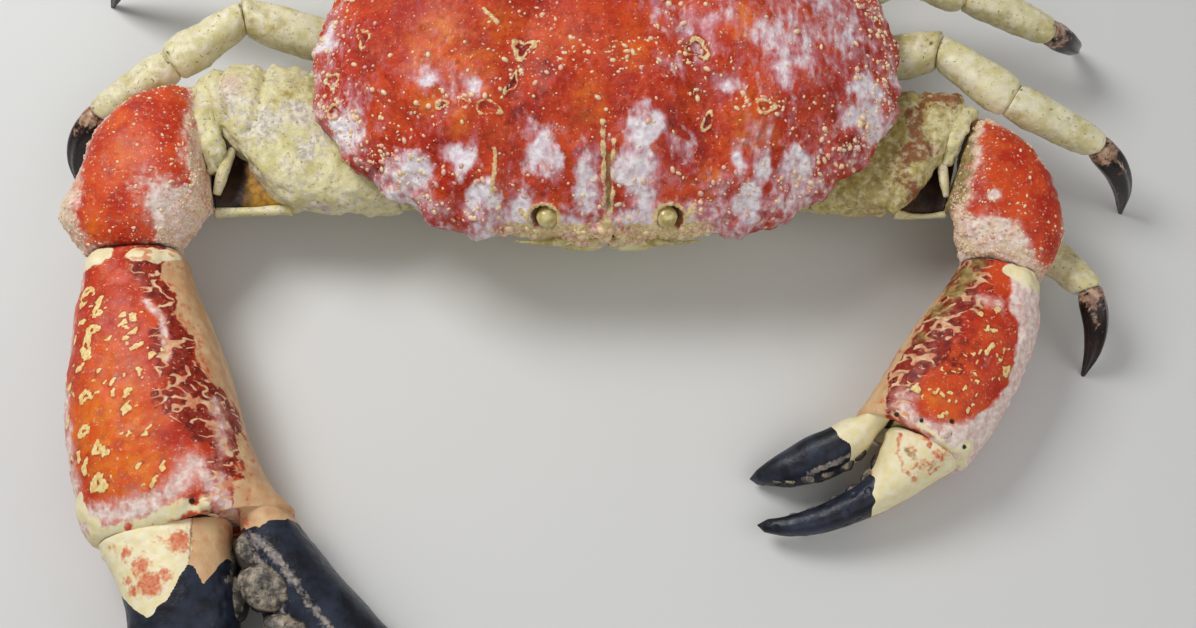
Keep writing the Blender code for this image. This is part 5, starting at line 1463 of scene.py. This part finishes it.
def buildElbow(claw):
    # soft skin in the open corner, a thin edge under it, a tongue and the joint's plate
    name, rows = claw["label"] + "ElbowSkin", planRows(claw["skin"])
    piece, *_ = limb(name, rows, around=60, along=40, fullness=2.6, ends=(0.002, 0.002))
    co = places(piece)
    swell(piece, 0.0005 * grain(co, 0.006, 69))
    ochre = smoothStep(claw["inward"] * (co[:, 0] - claw["skin"][2][0][0]), -0.004, 0.012)
    paint(piece, "olive", ochre * claw["skinOchre"])
    finish(piece, "shell_cream", jointSkin)
    for part, pink, rough in (("strut", 0.3, 0.0005), ("tongue", 0.35, 0.0004), ("jointPlate", 0.1, 0.0022)):
        name, rows = claw["label"] + part[0].upper() + part[1:], pathRows(claw[part])
        piece, _, _, up = limb(name, rows, around=40, along=60, fullness=2.2, ends=(0.001, 0.001))
        co = places(piece)
        swell(piece, rough * grain(co, 0.007, 70) + 0.4 * rough * grain(co, 0.003, 56))
        # painted shade: olive, darker on the underside of each piece, with random olive blotches
        olive = 0.4 * smoothStep(-up, -0.5, 0.4) + 0.25 * grain(co, 0.009, 57)
        paintAll(piece, creamMasks, pink=pink, frost=0.35, olive=olive)
        finish(piece, "shell_cream", creamShell)


def buildWrist(claw, nodeName):
    name, rows = claw["label"] + "Wrist", planRows(claw["wrist"])
    piece, _, _, up = limb(name, rows, around=220, along=190, ends=(0.004, 0.003))
    co = places(piece)
    x, y = co[:, 0], co[:, 1]
    upper = up > 0
    # a smooth red field on top, and a beaded cream margin round it
    rag = [0.0026 * grain(co, 0.006, seed) for seed in (76, 77)]
    inside = insideOf(x + rag[0], y + rag[1], claw["wristField"])
    field = smoothStep(inside + 0.0012 * grain(co, 0.0026, 79), -0.0042, 0.0046) * upper
    margin = 1.0 - field
    away, owner = pebbles(co, 0.0032, 71)
    pimple = smoothStep(0.46 - away, 0.0, 0.3) * (owner < 0.25 + 0.5 * margin)
    height = 0.0008 * grain(co, 0.012, 72) + 0.0006 * pimple + 0.0009 * margin * grain(co, 0.0045, 73)
    height += 0.0008 * smoothStep(inside, -0.001, 0.006) * upper
    knobs = np.zeros(len(x))
    for *middle, wide, lift in claw["wristKnobs"]:
        knob = bell(np.linalg.norm(co - np.array(middle), axis=1), wide)
        knobs = np.maximum(knobs, knob)
        height += lift * knob
    swell(piece, height)
    pale = patches(x, y, claw["wristPale"]) * upper
    frost = 0.52 * margin + 0.24 * grain(co, 0.008, 74) * margin + 0.1 * pimple
    cream = 0.54 * margin + 0.24 * grain(co, 0.006, 75) * margin - 0.3 * pale
    paintAll(
        piece, clawMasks, frost=frost + pale * (0.85 + 0.3 * grain(co, 0.007, 42)),
        cream=cream + 0.55 * smoothStep(knobs, 0.3, 0.8),
        amber=patches(x, y, claw["wristAmber"]) * 0.6 * upper + 0.15 * grain(co, 0.016, 78),
        dark=0.08 + 0.22 * grain(co, 0.014, 78),
        olive=patches(x, y, claw["wristOlive"]) * 0.85 * (up > -0.4),
    )
    finish(piece, "claw_red", clawShell, nodeName)
    # golden and pink beads, thickest along the margin
    draw = random.Random(claw["seed"] + 3)
    chosen = np.flatnonzero(up > 0.0)
    normal = normals(piece)
    co = places(piece)
    spots = []
    while len(spots) < claw["wristBeads"]:
        index = chosen[draw.randrange(len(chosen))]
        if draw.random() < (0.3 if field[index] > 0.5 else 0.8):
            spots.append((Vector(co[index]), Vector(normal[index])))
    finish(addBeads(claw["label"] + "WristBeads", spots, 0.00068, claw["seed"] + 4), "shell_cream", beadShell)


def beyondLine(x, y, horn):
    # how far past the edge of the horn a point lies
    axis, line = horn
    across, ahead = (x, y) if axis == 0 else (y, x)
    return np.interp(across, *zip(*sorted(line))) - ahead


def palmRows(claw, outer, inner, cut):
    # palm and fixed finger are one shell, which narrows at once where the movable finger leaves it
    (lowEnd, highEnd), *fixed = claw["fixed"]
    low, high = (0.6 * last + 0.4 * first for last, first in zip(claw["palm"][-1][2:], (lowEnd, highEnd)))
    ahead = Vector(claw["ahead"]).normalized()
    early, late = ((inner[0] + ahead[0] * away, inner[1] + ahead[1] * away) for away in (0.0025, 0.005))
    step = [(midPoint(outer, cut, 0.45), early, low, high), (cut, late, lowEnd, highEnd)]
    return [*claw["palm"], *step, *fixed]


def buildPalm(claw, outer, inner, cut, *nodeNames):
    name, rows = claw["label"] + "Palm", planRows(palmRows(claw, outer, inner, cut))
    piece, share, side, up = limb(name, rows, *claw["palmGrid"], 2.4, (0.003, 0.0), claw["fixedTip"])
    inward = claw["inward"]
    co = places(piece)
    x, y = co[:, 0], co[:, 1]
    topFace = smoothStep(up, -0.12, 0.08)
    wobble = 0.0022 * grain(co, 0.0065, 83)
    # the rubbed tan inner face with red flecks along its edge, and the dark mottling before it
    tanX, darkX = lineX(claw["tanLine"], y), lineX(claw["darkLine"], y)
    past = inward * (x - tanX) + wobble + 0.0026 * grain(co, 0.011, 47) + 0.0012 * grain(co, 0.0028, 48)
    tan = topFace * smoothStep(past, -0.0034, 0.003) + (1.0 - topFace) * smoothStep(side, -0.62, -0.3)
    flecks = topFace * tan * (1.0 - smoothStep(past, 0.002, 0.012))
    flecks *= smoothStep(grain(co, 0.0032, 49), -0.1, 0.5)
    gap = np.where(np.abs(tanX - darkX) < 0.004, np.sign(tanX - darkX + 1e-9) * 0.004, tanX - darkX)
    mottled = smoothStep((x - darkX) / gap + 0.3 * grain(co, 0.0075, 98), -0.35, 0.45)
    mottled *= topFace * (1.0 - tan)
    onFinger = smoothStep(inward * (x - claw["fingerFrom"]), -0.001, 0.001)
    pastHorn = beyondLine(x, y, claw["fixedHorn"]) + 0.001 * grain(co, 0.004, 85)
    horn = smoothStep(pastHorn, -0.0006, 0.0006) * onFinger
    finger = smoothStep(share, 0.6, 0.66)
    palmOnly = 1.0 - smoothStep(share, 0.56, 0.6)
    # frosted paths and outer edge; no spots where the frost is thick
    frost = [level * pathGlow(x, y, width, path) for path, width, level in claw["frostPaths"]]
    frost = np.maximum.reduce(frost) * topFace
    clear = 1.0 - tan
    if claw["rimLine"]:
        outside = smoothStep(-inward * (x - lineX(claw["rimLine"], y)) + wobble, -0.0015, 0.0025)
        frost = np.maximum(frost, 0.85 * outside * np.where(up > -0.5, 1.0, 0.3))
    else:
        edge = smoothStep(-side + 0.06 * grain(co, 0.008, 55), 0.74, 0.9) * smoothStep(up, -0.75, -0.45)
        frost = np.maximum(frost, 0.74 * edge * smoothStep(grain(co, 0.01, 86), -0.8, 0.3))
    frost = frost * (0.92 + 0.22 * grain(co, 0.006, 84))
    if claw["rimLine"]:
        clear = np.clip(clear - 1.2 * smoothStep(frost, 0.55, 0.75), 0.0, 1.0)
    spot, halo = (mark * clear for mark in paleSpots(co, up, side, claw))
    # cream lobes and seam at the fingers' roots, and small pits painted near black as painted shade
    seamRim = pathGlow(x + wobble, y, claw["seamRim"], claw["seamPath"]) * topFace * (1.0 - onFinger * 0.6)
    seamRim *= 0.82 * smoothStep(grain(co, 0.007, 89), -0.9, 0.0)
    lobes = np.zeros(len(co))
    for lx, ly, radius in claw["lobes"]:
        far = np.hypot(x + 1.2 * wobble - lx, y + 0.8 * wobble - ly) / radius
        lobes = np.maximum(lobes, 0.92 - 0.92 * smoothStep(far, 0.6, 1.25))
    pits = np.maximum.reduce([bell(np.hypot(x - px, y - py), radius) for px, py, radius in claw["pits"]])
    pits *= topFace
    height = 0.0007 * grain(co, 0.014, 81) + 0.0003 * grain(co, 0.004, 82) * (1.0 - finger) + 0.0004 * spot
    # the round end of the joint, with two broken rings
    kx, ky, size = claw["condyle"]
    off = np.hypot(x - kx, y - ky) / (size * (1.0 + 0.42 * grain(co, 0.0055, 80)))
    condyle = (bell(off - 1.3, 0.2) + 0.8 * bell(off - 0.6, 0.18)) * topFace
    condyle *= smoothStep(grain(co, 0.006, 45), -0.55, 0.15)
    height += 0.0018 * np.exp(-((off / 0.9) ** 4)) * topFace - 0.0011 * condyle
    for bump in claw["bumps"]:
        height += patches(x, y, (bump,)) * topFace
    height += 0.001 * smoothStep(frost, 0.3, 0.7) * grain(co, 0.004, 87) - 0.002 * pits
    swell(piece, height)
    floorFlat(piece)
    worn = pathGlow(x, y, *claw["worn"]) * smoothStep(up, -0.6, -0.2) * smoothStep(horn, 0.3, 0.9)
    worn *= 0.75 + 0.35 * grain(co, 0.007, 100)
    stripe = pathGlow(x, y, *claw["stripe"]) * (up > 0) * horn * (0.8 + 0.3 * grain(co, 0.008, 99))
    dark = np.maximum(0.88 * mottled, patches(x, y, claw["deepRed"])) * palmOnly
    paintAll(
        piece, clawMasks, dark=dark + 0.12 * grain(co, 0.012, 88), horn=horn,
        amber=patches(x, y, claw["amber"]) * 0.8 * topFace, olive=patches(x, y, claw["palmOlive"]) * topFace,
        frost=frost * (1.0 - tan) * palmOnly, tan=0.95 * np.maximum(tan, finger),
        butter=0.95 * np.maximum.reduce([lobes * topFace, seamRim, claw["fingerCream"] * finger]),
        worm=claw["squiggle"] * mottled * palmOnly * smoothStep(grain(co, 0.004, 90), -0.5, 0.1),
        spot=spot * palmOnly, halo=0.75 * halo * palmOnly, blush=0.56 * flecks * palmOnly,
        outline=0.66 * condyle, worn=0.9 * worn + 0.75 * stripe,
        # deep: painted shade, near black, in the pits and in a ring at the palm's root where it meets the
        # wrist
        deep=0.95 * pits + 0.7 * (1.0 - smoothStep(share, 0.004, 0.012)),
    )
    finish(piece, "claw_red", clawShell, *nodeNames)


def buildMovableFinger(claw, rows, nodeName):
    name, rows, tip = claw["label"] + "MovableFinger", planRows(rows), claw["movableTip"]
    piece, share, side, up = limb(name, rows, around=200, along=230, ends=(0.003, 0.0), tip=tip)
    co = places(piece)
    x, y = co[:, 0], co[:, 1]
    upper = up > 0
    pastHorn = beyondLine(x, y, claw["movableHorn"]) + 0.0012 * grain(co, 0.004, 95)
    horn = smoothStep(pastHorn, -0.0006, 0.0006)
    collar = bell(share - 0.045, 0.018) * upper
    dents = smoothStep(0.3 - pebbles(co, 0.009, 96)[0], 0.0, 0.15) * horn
    height = 0.0006 * grain(co, 0.014, 91) + 0.0002 * grain(co, 0.004, 92)
    swell(piece, height + 0.0012 * collar * grain(co, 0.006, 93) - 0.0005 * dents)
    past = claw["inward"] * (x - lineX(claw["movableTan"], y)) + 0.0014 * grain(co, 0.005, 94)
    tan = np.where(upper, smoothStep(past, -0.002, 0.002), 1.0)
    blush = patches(x, y, claw["blush"]) * upper
    lobeEdge, within = np.zeros(len(co)), np.zeros(len(co))
    if claw["fingerLobe"]:
        lobeEdge = pathGlow(x + 0.001 * grain(co, 0.004, 46), y, 0.0018, claw["fingerLobe"]) * upper
        lobeEdge *= smoothStep(grain(co, 0.005, 44), -0.8, 0.0)
        within = smoothStep(insideOf(x, y, claw["fingerLobe"]), 0.0, 0.002) * upper
    paintAll(
        piece, clawMasks, tan=tan, butter=1.0 - tan, blush=np.maximum(blush, 0.58 * lobeEdge),
        outline=0.56 * pathGlow(x, y, 0.0012, claw["movableTan"]) * upper * (1.0 - horn),
        olive=0.52 * within * smoothStep(grain(co, 0.0034, 43), -0.1, 0.5), frost=0.62 * within,
        cream=0.75 * smoothStep(-side, 0.75, 0.95) * (1.0 - horn), horn=horn,
        worn=0.5 * smoothStep(side, 0.75, 0.95) * horn * smoothStep(grain(co, 0.008, 97), -0.2, 0.5),
        # deep: painted shade, near black, in a ring at the finger's root where it meets the palm
        deep=0.7 * (1.0 - smoothStep(share, 0.004, 0.012)),
    )
    finish(piece, "finger_black", clawShell, nodeName)


def buildClaw(claw):
    nodeStart = "cheliped_" + claw["word"] + "_"
    buildClawHip(claw, nodeStart + "ischium")
    buildArm(claw, nodeStart + "merus")
    buildElbow(claw)
    buildWrist(claw, nodeStart + "carpus")
    # the palm's far edge, cut where the two fingers part
    outer, inner = claw["palm"][-1][:2]
    cut = midPoint(outer, inner, claw["split"])
    buildPalm(claw, outer, inner, cut, nodeStart + "palm", nodeStart + "fixed_finger")
    # the movable finger keeps a millimetre clear of both sides
    away = (Vector(inner) - Vector(outer)).normalized() * 0.001
    root, *further = claw["movable"]
    movable = [(tuple(Vector(outer) + away), tuple(Vector(cut) - away), *root), *further]
    buildMovableFinger(claw, movable, nodeStart + "movable_finger")
    root, *further = claw["fixed"]
    biteLumps(claw["label"] + "UpperLumps", claw, movable, 1, 0.0)
    biteLumps(claw["label"] + "LowerLumps", claw, [(cut, inner, *root), *further], 0, claw["lowerTeethLift"])
    print(claw["label"])


buildClaw(crusher)
buildClaw(cutter)


# walking legs

legs = {
    # from the hip to the tip of each leg: x, y, z
    "joints": {
        "leg2_left": mm(
            (96, -40, 15), (211, -69, 15), (266, -112.5, 27), (285, -143, 40), (288.5, -182.5, 0),
        ),
        "leg3_left": mm((98, 6, 27), (203, 2, 69), (242.5, -33, 70), (295.5, -56, 56), (325.5, -73.5, 0)),
        "leg4_left": mm((92, 48, 27), (184, 58, 68), (223, 42, 70), (275, 24, 56), (309.5, 47, 0)),
        "leg5_left": mm((76, 86, 26), (144, 124, 62), (182, 142, 64), (226, 160, 50), (256, 177, 0)),
        "leg2_right": mm(
            (-96, -38, 14.5), (-192, -52, 14.5), (-238, -64, 16.5), (-277, -64, 19), (-300, -50, 0),
        ),
        "leg3_right": mm((-98, 6, 27), (-225.5, 32, 60), (-266, -2, 60), (-311.5, -28, 46), (-335.5, -54, 0)),
        "leg4_right": mm((-92, 48, 27), (-188, 66, 68), (-230, 68, 70), (-282, 76, 56), (-331, 80, 0)),
    },
    "scale": {"leg2": 0.92, "leg3": 1.0, "leg4": 1.0, "leg5": 0.85},
    # share of the segment, half width, half depth
    "girth": {
        "merus": (
            (0.0, 0.0125, 0.0115), (0.25, 0.0135, 0.0125), (0.6, 0.013, 0.0125), (0.88, 0.0125, 0.0125),
            (1.0, 0.0105, 0.011),
        ),
        "carpus": (
            (0.0, 0.0085, 0.0095), (0.15, 0.01, 0.0105), (0.45, 0.0115, 0.011), (0.85, 0.013, 0.0115),
            (1.0, 0.0112, 0.01),
        ),
        "propodus": (
            (0.0, 0.01, 0.0095), (0.12, 0.0112, 0.0102), (0.5, 0.0108, 0.01), (0.85, 0.0096, 0.009),
            (1.0, 0.008, 0.0078),
        ),
        "dactyl": (
            (0.0, 0.0072, 0.007), (0.12, 0.0085, 0.0078), (0.4, 0.0075, 0.0066), (0.7, 0.0052, 0.0046),
            (0.9, 0.0028, 0.0026), (1.0, 0.0015, 0.0015),
        ),
    },
    # the hip's reach inward, drop, half width and half depth
    "bow": 0.007, "hip": (0.036, 0.002, 0.0145, 0.0115),
    "hipShares": ((0.0, 0.9), (0.55, 1.0), (0.85, 0.98), (1.0, 0.9)),
}
# the last pair is alike on both sides
legs["joints"]["leg5_right"] = tuple((-x, y, z) for x, y, z in legs["joints"]["leg5_left"])


def legRows(start, end, startFace, endFace, girth, scale, bow):
    run = (end - start).normalized()
    upright = Vector((0, 0, 1))
    outward = startFace - run * startFace.dot(run)
    rows = []
    for share, halfWidth, halfDepth in girth:
        facing = startFace if share == 0.0 else endFace if share == 1.0 else run
        middle = start.lerp(end, share) + outward.normalized() * bow * math.sin(math.pi * share)
        across = facing.cross(upright)
        if across.length < 0.05:
            across = run.cross(upright)
        across.normalize()
        rise = across.cross(facing).normalized() * halfDepth * scale
        stretch = 1.0 / max(0.6, abs(across.dot(run.cross(upright).normalized())))
        rows.append((*middle, *(across * halfWidth * scale * stretch), *rise, *rise))
    return rows


def buildLeg(name):
    points = [Vector(place) for place in legs["joints"][name]]
    scale = legs["scale"][name[:4]]
    runs = [(after - before).normalized() for before, after in zip(points, points[1:])]
    # the face between two segments halves the bend; the leg's tip points down
    middles = [(before + after).normalized() for before, after in zip(runs, runs[1:])]
    faces = [runs[0], *middles, Vector((0, 0, -1))]
    label = name.replace("_left", "Left").replace("_right", "Right")
    for index, (segment, girth) in enumerate(legs["girth"].items()):
        tipped = segment == "dactyl"
        bow, lastRim = (legs["bow"], 0.0) if tipped else (0.0, 0.0026)
        rows = legRows(points[index], points[index + 1], faces[index], faces[index + 1], girth, scale, bow)
        piece, share, side, up = limb(
            label + segment.title(), rows, around=60, along=70, fullness=2.6 if segment == "merus" else 2.3,
            ends=(0.0022, lastRim),
        )
        co = places(piece)
        if tipped:
            # fluted dark horn, worn pale at its root
            flute = 0.0004 * np.cos(np.arctan2(up, side) * 6.0) * smoothStep(share, 0.05, 0.2)
            swell(piece, flute * (1.0 - smoothStep(share, 0.8, 1.0)))
            floorFlat(piece)
            pale = 0.8 * (1.0 - smoothStep(share, 0.06, 0.2))
            pale += 0.55 * bell(side - 0.2, 0.3) * (1.0 - smoothStep(share, 0.25, 0.45))
            paint(piece, "frost", pale * (0.75 + 0.35 * grain(co, 0.004, 104)))
            finish(piece, "leg_tip", hornTip, name + "_dactyl")
            continue
        height = 0.0005 * grain(co, 0.008, 101) + 0.0003 * grain(co, 0.003, 102)
        height -= 0.0008 * bell(side, 0.22) * (up > 0) * np.sin(math.pi * np.clip(share, 0, 1))
        swell(piece, height)
        # painted shade at the joints: darker on top by the far end of each segment and all round near its
        # root
        mark = bell(share - 0.965, 0.03) * bell(side - 0.1, 0.35) * (up > 0)
        mark = np.maximum(mark, 0.9 * bell(share - 0.02, 0.03) * (np.abs(side) < 0.5))
        paint(piece, "olive", 0.22 + 0.3 * grain(co, 0.016, 103) + 0.15 * (segment == "merus"))
        paint(piece, "dark", 0.55 * mark)
        finish(piece, "leg_cream", legShell, name + "_" + segment)


for name in legs["joints"]:
    buildLeg(name)
print("legs")


def buildHip(name):
    root, knee = (Vector(place) for place in legs["joints"][name][:2])
    reach, drop, halfWidth, halfDepth = legs["hip"]
    run = (knee - root).normalized()
    outward = Vector((run.x, run.y, 0.0)).normalized()
    start = root - outward * reach - Vector((0, 0, drop))
    scale = legs["scale"][name[:4]]
    rows = []
    for share, size in legs["hipShares"]:
        facing = run if share == 1.0 else outward
        across = facing.cross(Vector((0, 0, 1))).normalized()
        rise = across.cross(facing) * halfDepth * size * scale
        rows.append((*start.lerp(root, share), *(across * halfWidth * size * scale), *rise, *rise))
    piece, share, *_ = limb(name.replace("_", "Hip"), rows, around=48, along=36, ends=(0.001, 0.002))
    swell(piece, 0.0005 * grain(places(piece), 0.006, 111) - 0.0009 * bell(share - 0.6, 0.03))
    paintAll(piece, creamMasks, olive=0.3)
    finish(piece, "shell_cream", creamShell)


for name in legs["joints"]:
    buildHip(name)
print("hips")


# floor, light and camera

studio = {
    "aim": (-0.005, -0.143, 0.0), "distance": 0.9, "elevation": 68.0, "lens": 44.04, "floor": "#D6D6D4",
    "floorSize": 6.0, "floorZ": -0.0003, "floorRough": 0.7,
    # soft boxes: place, size, power in watts
    "lights": (
        ((-0.75, 0.4, 1.2), 0.65, 14.5), ((0.95, -0.6, 1.1), 1.0, 3.6), ((0.05, -1.0, 0.95), 0.9, 2.4),
    ),
    "lightAim": (0, -0.08, 0.05), "sky": 0.26,
}

selectNothing()
bpy.ops.mesh.primitive_plane_add(size=studio["floorSize"], location=(0, 0, studio["floorZ"]))
floor = bpy.context.object
floor.name = "floor"
floorPaint = bpy.data.materials.new("mattFloorPaint")
floorPaint.use_nodes = True
paintLook = floorPaint.node_tree.nodes["Principled BSDF"].inputs
paintLook["Base Color"].default_value = linear(studio["floor"])
paintLook["Roughness"].default_value = studio["floorRough"]
floor.data.materials.append(floorPaint)

for place, size, power in studio["lights"]:
    bpy.ops.object.light_add(type="AREA", location=place)
    lamp = bpy.context.object
    lamp.data.energy = power
    lamp.data.size = size
    lamp.rotation_euler = (Vector(studio["lightAim"]) - Vector(place)).to_track_quat("-Z", "Y").to_euler()

world = bpy.data.worlds.new("paleRoom")
world.use_nodes = True
sky = world.node_tree.nodes["Background"].inputs
sky["Color"].default_value = (1.0, 1.0, 1.0, 1.0)
sky["Strength"].default_value = studio["sky"]
bpy.context.scene.world = world
bpy.context.scene.view_settings.view_transform = "Standard"

tilt = math.radians(studio["elevation"])
aim = Vector(studio["aim"])
bpy.ops.object.camera_add(location=aim - studio["distance"] * Vector((0, math.cos(tilt), -math.sin(tilt))))
camera = bpy.context.object
camera.rotation_euler = (aim - camera.location).to_track_quat("-Z", "Y").to_euler()
camera.data.lens = studio["lens"]
camera.data.sensor_width = 36.0
camera.data.clip_start = 0.01
bpy.context.scene.camera = camera
print("studio")
